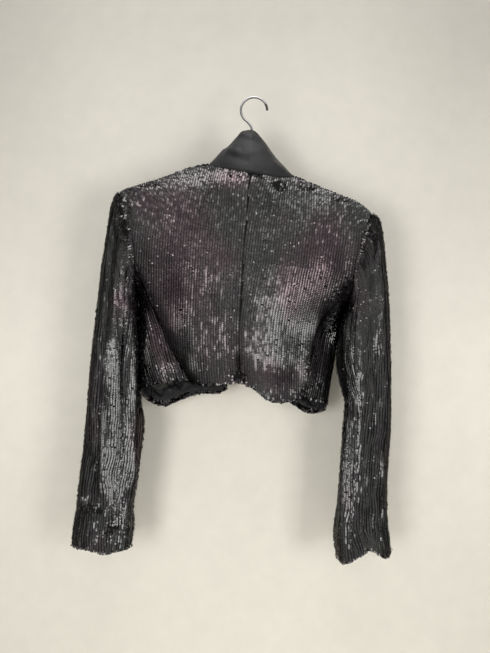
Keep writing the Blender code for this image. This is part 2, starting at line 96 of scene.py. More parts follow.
# Steps of the panels' meshes, shares near their ends where a few more lines are put, and the power that
# crowds the sleeves' rows a little towards the cuff
ABOVE_STEPS, BELOW_STEPS = 24, 26
NECK_STEPS, WIDTH_STEPS, SIDE_STEPS = 11, 20, 26
NEAR_ENDS = (0.011, 0.028)
SLEEVE_STEPS, SLEEVE_NEAR = 88, (0.003, 0.007)
SLEEVE_CROWDING = 0.97
UNDER_STEPS, UNDER_NEAR = 18, (0.014, 0.036)
UPPER_STEPS, UPPER_NEAR = 40, (0.007, 0.018)

# Centre back seam, one row for each station: x, y, z
CENTRE_BACK = [
    (-5, -30, -129), (-10, -38, -158), (-12, -45, -196), (-15, -50, -235), (-18, -54, -275),
    (-20.5, -57, -318), (-23, -60, -365), (-24, -60, -415), (-21, -56, -466),
]

LEFT = {
    "sign": -1,
    # Armhole: shoulder tip and underarm (x, y, z), half its depth, how far its middle cuts into the panels
    "tip": (-221, 0, -158),
    "underarm": (-194, 2, -322),
    "half_depth": 44,
    "cut_in": 11,
    # Edges as points x, y, z: from the centre out on the neck, shoulder and hems, and down the seams
    "neck_seam": [(-5, -30, -129), (-24, -27, -126), (-42, -21, -122), (-60, -11, -116), (-75, 0, -112)],
    "shoulder": [(-75, 0, -112), (-106, 0, -116), (-156, 0, -135), (-204, 0, -150), (-221, 0, -158)],
    "side_seam": [(-176, -37, -312), (-157, -36, -362), (-132, -38, -418), (-103, -40, -466)],
    "back_hem": [(-21, -56, -466), (-34, -55, -465), (-62, -53, -468), (-86, -49, -469), (-103, -40, -466)],
    "side_hem": [
        (-103, -40, -466), (-99, -30, -465), (-102, -19, -464), (-118, -19, -464), (-136, -23, -467),
        (-154, -20, -469), (-172, -11, -473), (-185, 0, -478), (-189, 12, -484), (-187, 26, -494),
        (-179, 38, -505),
    ],
    "front_seam": [(-187, 45, -325), (-185, 47, -378), (-183, 45, -438), (-179, 38, -505)],
    "front_edge": [
        (-75, 0, -112), (-68, 17, -138), (-60, 29, -178), (-54, 37, -222), (-49, 42, -272), (-45, 45, -325),
        (-43, 46, -380), (-42, 46, -435), (-46, 45, -484),
    ],
    "front_hem": [
        (-46, 45, -484), (-56, 47, -491), (-75, 49, -493), (-98, 50, -494), (-122, 50, -502),
        (-148, 48, -513), (-165, 44, -512), (-179, 38, -505),
    ],
    # Sleeve sections: outer x, z, inner x, z, half depth, inner y, cut in
    "sleeve": [
        (-225.5, -158, -195.2, -331, 45, 4, 8), (-232.5, -168, -195.5, -340, 47, 7, 3),
        (-237.5, -190, -195.5, -352, 48, 10, 0), (-242.5, -222, -195, -367, 48, 13, 0),
        (-248, -262, -194.5, -387, 47, 15, 0), (-254.5, -312, -194, -412, 45, 16, 0),
        (-262, -370, -193.5, -442, 42, 16, 0), (-269, -434, -193, -477, 40, 14, 0),
        (-274, -496, -189, -512, 38, 10, 0), (-279, -548, -184, -542, 36, 6, 0),
        (-283, -592, -189, -590, 34, 4, 0), (-289, -633, -195, -635, 32, 2, 0),
        (-294, -678, -201, -678, 29, 1, 0), (-299, -708, -200, -706, 27, 0, 0),
        (-302, -736, -204, -740, 26, 0, 0),
    ],
    # Drop of the cuff's edge: place from the outer (0) to the inner side (1), drop
    "cuff": [(0.0, 0), (0.2, 1), (0.4, 2), (0.62, 8), (0.75, 4), (1.0, 0)],
    # Sleeve folds: first row, angle; last row, angle (degrees); depth, half width. Ridges have minus depths
    "sleeve_folds": [
        (1.0, 62, 11.0, 66, 5.0, 17), (6.5, 128, 13.5, 104, 6.0, 13), (7.0, 92, 13.0, 84, -3.5, 12),
        (10.2, 30, 12.8, 84, 5.0, 15), (5.0, 286, 13.0, 300, 5.0, 17), (7.5, 236, 12.5, 254, 4.0, 14),
    ],
    # Body folds: first station, share of the width; last station, share; depth, half width as a share
    "back_folds": [(4.2, 0.84, 7.8, 0.66, 1.4, 0.09), (4.8, 0.16, 7.9, 0.12, -3.0, 0.10)],
    "side_folds": [(4.6, 0.40, 7.6, 0.36, 4.0, 0.07), (3.0, 0.84, 8.3, 0.84, -2.8, 0.16)],
    # How far out the side may stand beside the sleeve: z, x
    "side_reach": [(-510, -189), (-450, -190.3), (-360, -191.5), (-322, -192.5)],
}

RIGHT = {
    "sign": 1,
    "tip": (193, 0, -193),
    "underarm": (157, 2, -338),
    "half_depth": 46,
    "cut_in": 9,
    "neck_seam": [(-5, -30, -129), (16, -27, -132), (34, -21, -134), (52, -11, -133), (66, 0, -130)],
    "shoulder": [(66, 0, -130), (93, 0, -142), (143, 0, -162), (171, 0, -174), (193, 0, -193)],
    "side_seam": [(134, -42, -328), (104, -38, -368), (92, -39, -425), (81, -42, -484)],
    "back_hem": [
        (-21, -56, -466), (2, -57, -476), (20, -55, -491), (42, -53, -496), (64, -49, -492), (81, -42, -484),
    ],
    "side_hem": [
        (81, -42, -484), (77, -32, -485), (74, -18, -487), (80, -6, -491), (94, 0, -497), (109, 5, -501),
        (120, 11, -505), (124, 19, -510), (121, 27, -518), (113, 33, -524),
    ],
    "front_seam": [(146, 45, -342), (136, 44, -390), (127, 41, -452), (113, 33, -524)],
    "front_edge": [
        (66, 0, -130), (62, 17, -155), (56, 29, -194), (50, 37, -238), (45, 42, -288), (41, 45, -340),
        (38, 46, -395), (36, 46, -446), (38, 45, -492),
    ],
    "front_hem": [
        (38, 45, -492), (46, 46, -499), (58, 46, -505), (72, 44, -513), (87, 41, -523), (101, 37, -526),
        (113, 33, -524),
    ],
    "sleeve": [
        (199, -194, 156.5, -346, 47, 5, 6), (205.5, -200.5, 154, -354, 48, 9, 3),
        (210, -214, 151, -363, 48, 12, 0), (213, -239, 148, -375, 48, 15, 0),
        (216.5, -272, 145, -391, 46, 18, 0), (220.5, -318, 142, -414, 44, 19, 0),
        (224, -372, 140, -442, 42, 18, 0), (225.5, -430, 145, -474, 41, 12, 0),
        (225.5, -490, 152, -504, 39, 7, 0), (225, -548, 149, -546, 37, 4, 0),
        (222.5, -592, 146, -592, 35, 3, 0), (220, -632, 142.5, -635, 33, 2, 0),
        (220, -672, 139, -675, 31, 1, 0), (221.5, -708, 132, -714, 28, 0, 0),
        (226, -744, 136, -751, 26, 0, 0),
    ],
    "cuff": [(0.0, 2), (0.1, 11), (0.25, 3), (0.42, -9), (0.6, 0), (0.8, 12), (0.93, 13), (1.0, 5)],
    "sleeve_folds": [
        (5.5, 78, 13.0, 74, 4.0, 13), (5.0, 116, 12.0, 122, -3.5, 13), (3.0, 48, 10.0, 44, -3.0, 13),
        (4.0, 290, 13.0, 296, 5.0, 17), (8.0, 238, 12.5, 250, 4.0, 14),
    ],
    "back_folds": [(3.6, 0.90, 7.6, 0.70, 1.2, 0.09), (4.4, 0.45, 7.8, 0.40, -3.0, 0.12)],
    "side_folds": [(4.2, 0.74, 6.9, 0.74, -5.5, 0.10)],
    "side_reach": [
        (-530, 124), (-510, 125), (-474, 132), (-442, 137), (-414, 139.2), (-391, 142), (-375, 144.5),
        (-363, 147.5), (-350, 152), (-338, 156),
    ],
}
SIDES = {"left": LEFT, "right": RIGHT}

# Soft creases seen on a face: panel, from x, z, to x, z, depth, half width. Ridges have minus depths
CREASES = [
    ("back_left", -23, -436, -24, -464, 3.0, 8), ("back_left", -60, -150, -92, -205, -1.4, 15),
    ("back_left", -170, -190, -186, -262, 1.8, 11), ("back_left", -118, -300, -96, -420, -1.6, 12),
    ("back_left", -72, -340, -58, -452, 1.4, 9), ("back_left", -150, -240, -120, -330, 1.2, 14),
    ("back_right", 38, -150, 70, -190, -1.6, 14), ("back_right", 150, -205, 140, -270, 1.8, 10),
    ("back_right", 60, -300, 48, -400, -2.0, 16), ("back_right", 10, -330, 4, -440, 1.4, 9),
    ("back_right", 78, -380, 60, -470, 1.6, 8), ("back_right", 30, -440, 34, -486, -1.8, 9),
    ("side_left", -159, -352, -136, -436, 2.0, 6), ("side_left", -176, -360, -168, -455, -1.8, 7),
    ("side_right", 118, -390, 104, -470, 1.5, 7), ("front_left", -150, -250, -132, -400, 2.0, 13),
    ("front_left", -96, -330, -90, -470, -2.0, 12), ("front_left", -166, -380, -150, -480, 1.8, 9),
    ("front_left", -110, -180, -120, -260, -1.5, 14), ("front_right", 118, -270, 104, -420, 2.0, 12),
    ("front_right", 76, -350, 70, -480, -2.0, 11), ("front_right", 96, -200, 100, -280, -1.5, 13),
    ("front_right", 60, -420, 62, -490, 1.6, 8),
]

# Creases on a sleeve: side, first row, angle; last row, angle (degrees); depth, half width
SLEEVE_CREASES = [
    ("left", 0.8, 20, 3.2, 52, 2.6, 9), ("left", 1.4, 82, 4.2, 60, 2.0, 9),
    ("left", 2.4, 12, 5.0, 30, 1.8, 8), ("left", 8.6, 80, 11.5, 87, -2.6, 8),
    ("left", 8.2, 62, 11.8, 66, 2.4, 8), ("left", 9.8, 134, 12.6, 138, 2.6, 6),
    ("left", 12.4, 49, 12.9, 100, 3.0, 7), ("left", 12.9, 100, 13.7, 118, 3.0, 7),
    ("left", 3.8, 98, 7.2, 110, 2.4, 9), ("left", 13.2, 30, 14.6, 40, -2.0, 9),
    ("left", 10.4, 104, 12.4, 108, -2.2, 7), ("left", 6.0, 262, 9.5, 280, 2.2, 9),
    ("left", 10.0, 312, 13.8, 322, -2.2, 10), ("left", 2.0, 318, 6.0, 334, 2.0, 10),
    ("left", 12.2, 262, 13.8, 290, 2.0, 8), ("right", 0.8, 24, 3.6, 60, 2.4, 9),
    ("right", 2.2, 88, 5.2, 70, 2.2, 9), ("right", 8.2, 136, 11.8, 120, -2.6, 7),
    ("right", 8.6, 81, 9.3, 80, -2.0, 6), ("right", 10.6, 68, 11.9, 66, -2.2, 6),
    ("right", 12.6, 61, 13.4, 60, -2.2, 6), ("right", 7.4, 108, 12.8, 98, 2.2, 7),
    ("right", 8.2, 30, 12.0, 34, 2.2, 8), ("right", 12.8, 84, 14.8, 90, 2.4, 8),
    ("right", 13.2, 128, 14.8, 132, -2.4, 8), ("right", 3.0, 300, 7.0, 318, 2.2, 10),
    ("right", 8.4, 268, 12.0, 282, -2.2, 9), ("right", 10.8, 328, 14.0, 336, 2.0, 9),
]

# Where the sequins lie brushed another way, on the back: x, z, half width, half height, up, aside (degrees)
BRUSHED = [
    (45, -352, 40, 37, 12, 0), (88, -352, 26, 58, 10.5, 0), (18, -412, 34, 34, 9, 0),
    (50, -432, 40, 18, 5, 0), (-70, -400, 46, 40, 5, 0), (-75, -300, 40, 40, 2, 0),
    (80, -456, 13, 18, 10, 0), (40, -480, 50, 14, 6, 0), (-79, -140, 60, 14, 5, 0),
    (-33, -130, 32, 12, 12, 0), (87, -178, 44, 12, 2, 3), (-22, -450, 13, 17, -16, 0),
    (-141, -447, 13, 9, 18, 0), (-128, -420, 20, 30, -10, 0), (-158, -398, 14, 40, -6, 0),
    (-122, -372, 20, 32, 7, 0), (-99, -438, 12, 16, 9, 0), (110, -300, 16, 24, 9, 0),
    (-212, -318, 8, 40, 7, 0), (-197, -400, 8, 90, 10, 0), (-176, -415, 8, 50, 9, 0),
    (131, -362, 10, 36, 24, 0), (-25, -170, 190, 66, -7, 0), (60, -262, 60, 30, -3, 0),
    (-190, -165, 45, 55, -9, 0), (165, -195, 45, 50, -8, 0), (-225, -240, 24, 70, -8, 0),
    (188, -280, 24, 80, -6, 0), (113, -232, 28, 26, -6, 0), (-205, -215, 8, 55, -12, 0),
    (172, -240, 8, 50, -10, 0), (-226, -510, 8, 66, 24, 0), (-229, -630, 15, 62, 25, 0),
    (-204, -505, 8, 42, 15, 0), (-200, -600, 5, 40, 12, 0), (-243, -552, 3.5, 62, 18, 0),
    (-284, -470, 9, 190, -6, 0), (-277, -659, 7, 5, 20, 0), (-214, -690, 5, 40, 12, 0),
    (-256, -712, 14, 22, 9, 0), (-232, -440, 12, 34, 14, 0), (168, -509, 3, 120, 20, 0),
    (172, -430, 2.5, 60, 14, 0), (196, -400, 3, 14, 18, 0), (203, -501, 3, 10, 15, 0),
    (206, -607, 3, 26, 15, 0), (208, -686, 3, 12, 15, 0), (150, -670, 7, 60, 20, 0),
    (185, -560, 24, 150, 1, 0), (178, -430, 14, 70, -4, 0), (156, -560, 11, 150, 10, 0),
    (152, -350, 7, 60, 11, 0), (-206, -560, 6, 80, 12, 0),
]

# Purple patches on the back: x, z, half width, half height, strength
PURPLE = [
    (-112, -279, 68, 73, 1.0), (-136, -182, 57, 29, 0.8), (-63, -408, 40, 49, 0.6),
    (119, -263, 48, 52, 1.0), (74, -303, 36, 49, 0.7), (58, -352, 19, 36, 0.6), (-31, -138, 36, 19, 0.7),
    (-153, -385, 29, 48, 0.9), (34, -456, 57, 24, 0.5), (-189, -573, 12, 50, 0.8),
    (-257, -548, 12, 30, 0.5), (-217, -335, 14, 20, 0.8), (175, -337, 10, 30, 0.3),
]

# Worn places: x, z, half width, half height, depth. Sequins are gone where it is deepest
WORN = [
    (2, -129, 17, 9, 1.5), (43, -150, 11, 10, 1.5), (90, -152, 14, 7, 1.2), (140, -172, 16, 6, 1.0),
    (-26, -456, 11, 10, 1.2), (-170, -150, 20, 6, 0.9), (-266, -676, 19, 9, 1.2), (-222, -173, 14, 8, 1.0),
    (196, -222, 8, 14, 0.9), (72, -482, 14, 5, 0.8), (110, -470, 6, 14, 0.6), (84, -440, 6, 24, 0.5),
    (-33, -132, 30, 12, 0.4), (-90, -140, 50, 12, 0.3), (-141, -447, 14, 9, 0.4), (-277, -659, 7, 5, 0.4),
    (-233, -708, 10, 12, 1.1), (-214, -690, 5, 40, 0.35), (-256, -712, 14, 22, 0.25),
    (131, -352, 9, 34, 0.45),
]

# Collar: place of its seam on the neck edge, then its free edge x, y, z. Places are minus on the left, and
# past 1 they run down the front
COLLAR = [
    (-2.15, -62, 27, -152), (-1.6, -56, 16, -119), (-1.0, -52, 4, -88), (-0.72, -42, -3, -82),
    (-0.36, -21, -7, -61), (0.0, -3, -8, -56), (0.3, 11, -7, -69), (0.62, 34, -3, -99), (1.0, 58, 5, -124),
    (1.5, 55, 14, -139), (1.95, 54, 25, -158),
]
COLLAR_WALL = 2.4
COLLAR_LIFT = -0.9
# How far the collar bulges at the back, which fades out between these places on its seam
COLLAR_BULGE = 5.0
COLLAR_BACK = (0.4, 1.3)
# Its mesh: columns between two rows of the table, and rows
COLLAR_COLUMNS, COLLAR_ROWS = 9, 22

# Collar creases: from x, z, to x, z, depth, half width
COLLAR_CREASES = [
    (-18, -62, -6, -70, 2.6, 5), (-40, -90, -27, -95, 2.4, 5), (-16, -98, 10, -92, 0.8, 6),
    (-34, -104, -12, -112, -0.9, 7), (-4, -68, 6, -72, 1.6, 4), (14, -80, 26, -100, 1.0, 5),
    (30, -112, 46, -122, 1.4, 5), (-30, -84, -16, -80, 1.2, 5),
]

# Lapel, lying on the front along its edge: station, first and last share of the front's width
LAPEL = [
    (0.3, 0.10, 0.24), (1.3, 0.11, 0.34), (2.0, 0.02, 0.38), (3.2, 0.0, 0.38), (4.4, 0.0, 0.32),
    (5.6, 0.0, 0.23), (6.6, 0.0, 0.16), (7.6, 0.0, 0.10),
]
LAPEL_WALL = 2.0
LAPEL_ROWS, LAPEL_COLUMNS = 90, 16
# Sequins of the front start this share of its width past the lapel's edge
LAPEL_MARGIN = 0.015
# Lapels and lining lie this far off the front
LAY_GAP = 0.9

# Lining that shows inside the fronts: first and last station, first and last share of the width
LINING_STATIONS = (6.6, 7.88)
LINING_SHARES = (0.04, 0.97)
LINING_WALL = 1.0
LINING_ROWS, LINING_COLUMNS = 40, 70

# Lining creases: from x, z, to x, z, depth, half width
LINING_CREASES = [
    (-180, -452, -146, -486, 3.4, 4.0), (-168, -442, -128, -480, -2.6, 3.5),
    (-150, -444, -118, -476, 3.0, 3.5), (-182, -476, -160, -494, -2.4, 3.5),
    (-128, -452, -100, -470, 2.2, 4), (-90, -466, -52, -470, -0.8, 6), (-176, -470, -140, -476, 2.0, 3),
    (-160, -488, -126, -470, -2.0, 3), (-146, -460, -116, -462, 1.8, 3), (60, -470, 84, -508, 2.6, 4),
    (84, -480, 102, -512, -2.4, 4), (70, -496, 98, -490, 1.8, 3),
]

# Depth of the small swells of collar, lapels and lining
COLLAR_SWELL = 0.7
LAPEL_SWELL = 0.4
LINING_SWELL = 1.1

# Hanger bar and the stem of its hook: x, z
BAR_RADIUS = 5.5
BAR = [
    (-207, -167), (-156, -147), (-106, -131), (-82, -129), (-52, -115), (-22, -82), (-3, -70), (14, -84),
    (36, -118), (60, -144), (92, -155), (143, -174), (178, -193),
]
BAR_POINTS = 90
WIRE_RADIUS = 2.0
HOOK_RADIUS = 21.8
HOOK_ANGLES = (4, 222)
HOOK_POINTS = 72
STEM = [(-11.0, -38.8), (-7.2, -43.2), (-4.6, -48.0), (-3.6, -54.0), (-3.2, -60.0), (-3.0, -63.6)]
STEM_POINTS = 24
ROUND_SIDES = 20
END_RINGS = 5
# Rings of the hook's wire that its dark tip covers, and how bright the wire is beside its slot's colour
TIP_RINGS = 12
WIRE_DULL = 0.6

# The wall and floor behind, the lights and the camera, in metres
WALL_Y = 0.095
WALL_TOP = 1.1
WALL_HALF_WIDTH = 1.7
FLOOR_Z = -1.25
FLOOR_BEND = 0.12
FLOOR_REACH = 1.3
BEND_STEPS = 12
AIM = (-0.01, 0.0, -0.40)
LEFT_LIGHT = (-0.80, -1.75, -0.55)
RIGHT_LIGHT = (1.05, -1.50, -0.55)
TOP_LIGHT = (0.05, -0.95, 1.25)
SIDE_LIGHT_SIZE = (0.60, 0.80)
TOP_LIGHT_SIZE = (1.3, 0.6)
LIGHT_COLOR = (1.0, 0.985, 0.96)
CAMERA = (-0.01494, -1.05, -0.37848)
LENS = 34.87
SENSOR = 36

# Painted light and shade on the wall's colour: from and to a height z, and the factors there, so that the top
# and the foot are painted darker. A painted pool of light peaks at its middle x, and ends from and to a
# distance aside of it
WALL_PAINTED_SHADE = (-0.42, 0.18, 0.98, 0.665)
WALL_PAINTED_FOOT_SHADE = (-0.78, -0.5, 0.93, 1.0)
WALL_PAINTED_LIGHT_PEAK = (-0.3, 0.0, 1.09, 1.2)
WALL_PAINTED_LIGHT_MIDDLE = -0.05
WALL_PAINTED_LIGHT_ASIDE = (0.15, 0.46)
WALL_MOTTLE = (0.3, 0.7, 0.98, 1.02)

# The room's light by the way it comes from: from and to a share of one axis, and the factors there. Only
# reflections see the last four
ROOM_COLOR = (1.0, 0.995, 0.98)
ROOM_AHEAD = (0.1, 0.8, 0.55, 1.0)
ROOM_CEILING = (0.32, 0.58, 0.0, 10.0)
ROOM_STRIP = (0.12, 0.5, 1.0, 0.2)
ROOM_SIDES = (0.45, 0.9, 1.0, 0.25)
ROOM_FLOOR = (-0.5, -0.12, 0.4, 1.0)

# The rim of a shell stands out by this share of its thickness
RIM_ROUND = 0.45
SHARP_ANGLE = math.radians(60)
# How near a sewn edge creases fade out, and how wide its dip is
CREASE_FADE = 11.0
SEAM_REACH = 2.4
# Passes that even out a back's normals, and the stations where that ends
NORMAL_PASSES = 22
EVEN_STATIONS = (1.6, 4.0)

# Shares of the small and large swells in the cloth's unevenness
SMALL_AND_LARGE = (0.4, 0.6)
# Noise over the cloth: width and length of its swells in millimetres, and where in the noise it starts
PATTERNS = {
    "small": (17, 38, (0, 0, 0)), "large": (46, 95, (7, 0, 0)), "purple": (42, 60, (0, 0, 5)),
    "worn": (3.4, 3, (90, 0, 0)), "runs": (4.6, 15, (0, 0, 0)), "swell": (30, 44, (3, 0, 0)),
    "fine": (3.1, 8, (0, 0, 9)), "clumps": (11, 9, (60, 0, 0)), "overhang": (5, 5, (0, 0, 30)),
    "bumps": (2.8, 2.8, (0, 0, 70)),
}
# Noise that differs between strands: step from one to the next, start, length of its swells, third place
STRAND_PATTERNS = {
    "wave": (0.35, 0, 20, 9.4), "wander": (2.9, 0, 13, 3.1), "twist": (1.37, 0, 34, 7.7),
    "swing": (0.53, 40, 60, 1.3), "rise": (3.3, 0, 1, 8.1),
}
# Where a strand's rise is read, and the step, start and places of the noise that shifts strands along
RISE_PLACE = 2.2
PHASE_CELL = (7.3, 0.2, 5.5, 0.5)

# Strands: where the one nearest the centre back lies, and how far sequins wander along one, both in steps
FIRST_STRAND = 0.61
STEP_WANDER = 0.5
# Rows along edges: spacing where they are a fringe, the ruffle that makes them one, marks kept as their
# strand
FRINGE_STEP = 2.4
FRINGE_RUFFLE = 0.5
BOTTOM_FRINGE, TOP_FRINGE, BESIDE_SEAM = -99.0, -98.0, -97.0
# They lie this far before the count of a grid's lines, so just inside its last one
LAST_LINE = 1.001
# How far the fringe hangs over a hem, by how much more it stands over a top edge, and its lift in degrees
OVERHANG = 2.2
TOP_OVERHANG = 1.8
HEM_LIFT = 7.0
# Fringe rows on the inside of the fronts' hems: heights above it, tip up in degrees, ruffle, and sway
TURNED_HEM = (0.6, 3.0, 5.6)
TURNED_TIP = 4.0
TURNED_RUFFLE = 0.9
TURNED_SWAY = 3
# From x to x the hem shows only the lowest of these rows
FLAT_HEM = (-112, -40)

# Sequins are left out where the cloth is more worn than this. Worn places fade out before a depth y
WORN_OFF = 0.55
WORN_RAGGED = 2.2
WORN_END = 48
WORN_FADE = 20.0
# Purple everywhere, and how much that varies
PURPLE_BASE, PURPLE_SPREAD = 0.1, 0.45
# How much a facing must point back for brushed and purple places to count
BACK_FACING = (-0.1, 0.35)

# How sequins hang: share of the cloth's slope that they undo, and a further share past a slope, in degrees
HANG = 0.85
STEEP_HANG = 0.3
STEEP = 25
SLOPES = (-25, 75)
# Brushed sequins are uneven by FINE, less so where they are brushed further, and keep a least share of it
FINE = 1.5
LEAST_BRUSH = 0.2
EVEN_BRUSH, MOST_EVEN = 20, 0.45
# Degrees of brush from which strands are stillest and sequins most levelled against the cloth's turn aside
STILL_BRUSH, STILLED = 12, 0.7
LEVEL_BRUSH, LEVELLED = 10, 0.85
YAWS = (-45, 45)
# How strands swing with the brush, up to so many degrees of it, and with their twist
STRAND_SWING = 0.6
MOST_SWING = 16
TWIST_SWING = 0.5
# Tipping past this many degrees, and more for each millimetre below a height, is damped
SOFT_TILT = 14
LOW_TILT = 0.025
LOW_Z, LOW_REACH = -350, 400
TILT_DAMPING = 9

# Ragged tops and hems: how much, how far in, and which clumps
TOP_RAGGED, TOP_REACH = 0.75, 11
HEM_RAGGED, HEM_REACH = 0.55, 5
CLUMPS = (-0.15, 0.30)
# Noise from which cloth is uneven, and turn away from the back from which it is ruffled
UNEVEN_FROM = (-0.3, 0.5)
RUFFLED_TURN = (0.55, 0.95)
# Runs of sequins tip up together: how lively at rest, for each degree of brush and twist, least and most
LIVELY = (0.12, 0.11, 0.02)
LIVELIEST = (0.10, 1.1)
# Noise from which a run tips up, less where the cloth swells, and from which one dips
RUN_FROM, RUN_SWELL, RUN_FULL = 0.13, 0.16, 0.46
DIP_FROM, DIP = (0.40, 0.60), 0.2
# How far tipped sequins stand up, as a share of their radius and up to a tilt in radians, and slim strands
STAND_UP = 0.55
MOST_TILT = 1.2
STRAND_RISE = 0.006
# Sequins on the outline: the turn where it is, their bumps, and how far the rest sink into the cloth
OUTLINE_TURN = (0.45, 0.9)
BUMPS = 10.0
BUMP_SHIFT, MOST_BUMP = 0.1, 0.35
SUNK = 1.1

# One sequin: sides of its disc, what is added to the seed for each random draw, and reach of the tilts' draws
DISC_SIDES = 8
DRAWS = {"loose": 11, "tip": 23, "aside": 37, "size": 53, "shade": 71}
TIP_DRAW = (-0.6, 1.0)
ASIDE_DRAW = (-0.6, 0.6)

# How each kind of panel is covered. free: edges that aren't sewn. edged: edges with a row of sequins right
# along them, and how ruffled it is. loose, uneven, rim: ruffle everywhere, in places, on the outline.
# twisted: twist of strands in degrees. slim: width of a sequin by its length. wave: how far strands wave, in
# millimetres. rough: how ragged top and hem are. guide: share of the width where strands follow the cloth.
# sunk: see SUNK
SLEEVE = {
    "free": ("bottom",), "edged": {"bottom": 1.0, "first": 0.4, "top": 0.4}, "loose": 0.04, "uneven": 0.1,
    "rim": 0.6, "twisted": 22, "slim": 0.84, "wave": 2.2, "rough": 0.5, "guide": 0.5, "sunk": SUNK,
}
KINDS = {
    "back": {
        "free": ("bottom",), "edged": {"bottom": 1.0, "top": 0.8}, "loose": 0.0, "uneven": 0.05, "rim": 0.2,
        "twisted": 3, "slim": 0.96, "wave": 0.5, "rough": 1.0, "guide": 0.0, "sunk": SUNK,
    },
    "side": {
        "free": ("bottom",), "edged": {"bottom": 1.0, "first": 0.2, "last": 0.2}, "loose": 0.06,
        "uneven": 0.14, "rim": 0.2, "twisted": 10, "slim": 0.88, "wave": 1.5, "rough": 0.8, "guide": 0.5,
        "sunk": 0.0,
    },
    "front": {
        "free": ("first", "bottom"), "edged": {"bottom": 1.0, "top": 0.8}, "loose": 0.05, "uneven": 0.1,
        "rim": 0.2, "twisted": 6, "slim": 0.94, "wave": 0.8, "rough": 0.6, "guide": 0.0, "sunk": SUNK,
    },
    "sleeve_under": SLEEVE,
    "sleeve_upper": SLEEVE,
}
GUIDES = {"back_right": 0.25}
ALL_EDGES = ("first", "last", "top", "bottom")
# Panels of the fronts once they are pressed, by their side
FRONTS = {}
# Each panel has its own seed: the sleeves' start this far past the body's, with room between the two
SLEEVE_SEED, SLEEVE_SEED_STEP = 20, 4

# Film of the sequins: brightness over patches of tone, own roughness of each sequin, tint of its reflections
TONES = (0.0, 1.0, 0.86, 1.14)
ROUGH_STEPS = 7.31
ROUGH_SPREAD = 0.05
FILM_EDGE = (0.15, 0.15, 0.15)
# Threads that satin's weft passes over, the spread of its roughness, and how much smoother the lining is
SATIN_FLOAT = 5.0
SATIN_SPREAD = 0.07
LINING_GLOSSIER = 0.1


def smoothstep(low, high, value):
    t = np.clip((np.asarray(value, float) - low) / (high - low), 0.0, 1.0)
    return t * t * (3 - 2 * t)


def along(table, t):
    """The smooth curve through the rows of a table, read at row numbers t."""
    rows = np.asarray(table, float)
    last = len(rows) - 1
    t = np.clip(np.asarray(t, float), 0.0, last)
    i = np.minimum(t.astype(int), last - 1)
    f = (t - i)[..., None]
    padded = np.vstack([2 * rows[0] - rows[1], rows, 2 * rows[last] - rows[last - 1]])
    before, a, b, after = (padded[i + k] for k in range(4))
    square = (2 * before - 5 * a + 4 * b - after) * f * f
    cube = (3 * a - before - 3 * b + after) * f ** 3
    return 0.5 * (2 * a + (b - before) * f + square + cube)


def share(table, u):
    """The same curve, read at shares of its length in rows."""
    return along(table, np.asarray(u, float) * (len(table) - 1))


def loop_section(high, low, half_depth, cut_in, angle):
    """Points on a closed section, round from its high or outer end over the back."""
    high, low = np.asarray(high, float), np.asarray(low, float)
    middle = (high + low) / 2
    across = np.sin(angle)
    point = middle + (high - middle) * np.cos(angle)[..., None]
    point[..., 1] -= half_depth * np.sign(across) * np.abs(across) ** LOOP_SQUARENESS
    point[..., 0] += cut_in * across * across
    return point


def armhole(side, angle):
    cut_in = -side["sign"] * side["cut_in"]
    return loop_section(side["tip"], side["underarm"], side["half_depth"], cut_in, np.asarray(angle, float))


def outer_edge(side, s, turn, seam_angle, seam):
    """Outer edge of a back or front: down the armhole, then down its seam with the side."""
    above = armhole(side, turn + (seam_angle - turn) * np.minimum(s, UNDERARM) / UNDERARM)
    below = along([armhole(side, seam_angle), *seam], s - UNDERARM)
    return np.where((s <= UNDERARM)[:, None], above, below)


def back_edge(side, s):
    return outer_edge(side, s, 0.0, BACK_SEAM_ANGLE, side["side_seam"])


def front_outer_edge(side, s):
    return outer_edge(side, s, 2 * math.pi, FRONT_SEAM_ANGLE, side["front_seam"])


def patch(first, last, top, bottom, u, top_part, bottom_part):
    """Points inside four edges: across from first to last, and what the top and bottom edges add."""
    span = u[:, None]
    lean_top = top - ((1 - span) * top[0] + span * top[-1])
    lean_bottom = bottom - ((1 - span) * bottom[0] + span * bottom[-1])
    flat = (1 - span) * first[:, None] + span * last[:, None]
    return flat + top_part[:, None, None] * lean_top + bottom_part[:, None, None] * lean_bottom


def back_grid(side, u, s):
    neck = share(side["neck_seam"], np.minimum(u / NECK_SHARE, 1.0))
    shoulder = share(side["shoulder"], np.maximum((u - NECK_SHARE) / (1 - NECK_SHARE), 0.0))
    top = np.where((u <= NECK_SHARE)[:, None], neck, shoulder)
    v = s / HEM
    grid = patch(
        along(CENTRE_BACK, s), back_edge(side, s), top, share(side["back_hem"], u), u,
        1 - smoothstep(*TOP_FADE, v), smoothstep(*BACK_HEM_RISE, v),
    )
    grid[..., 1] -= BACK_BULGE * np.outer(smoothstep(*BACK_SWELL, v), np.sin(math.pi * u))
    return grid


def front_grid(side, u, s):
    v = s / HEM
    grid = patch(
        along(side["front_edge"], s), front_outer_edge(side, s), share(side["shoulder"], u),
        share(side["front_hem"], u), u, 1 - smoothstep(*TOP_FADE, v), smoothstep(*FRONT_HEM_RISE, v),
    )
    swell = smoothstep(*FRONT_SWELL, v) * (1 - smoothstep(*FRONT_SWELL_END, v))
    grid[..., 1] += FRONT_BULGE * np.outer(swell, np.sin(math.pi * u))
    return grid


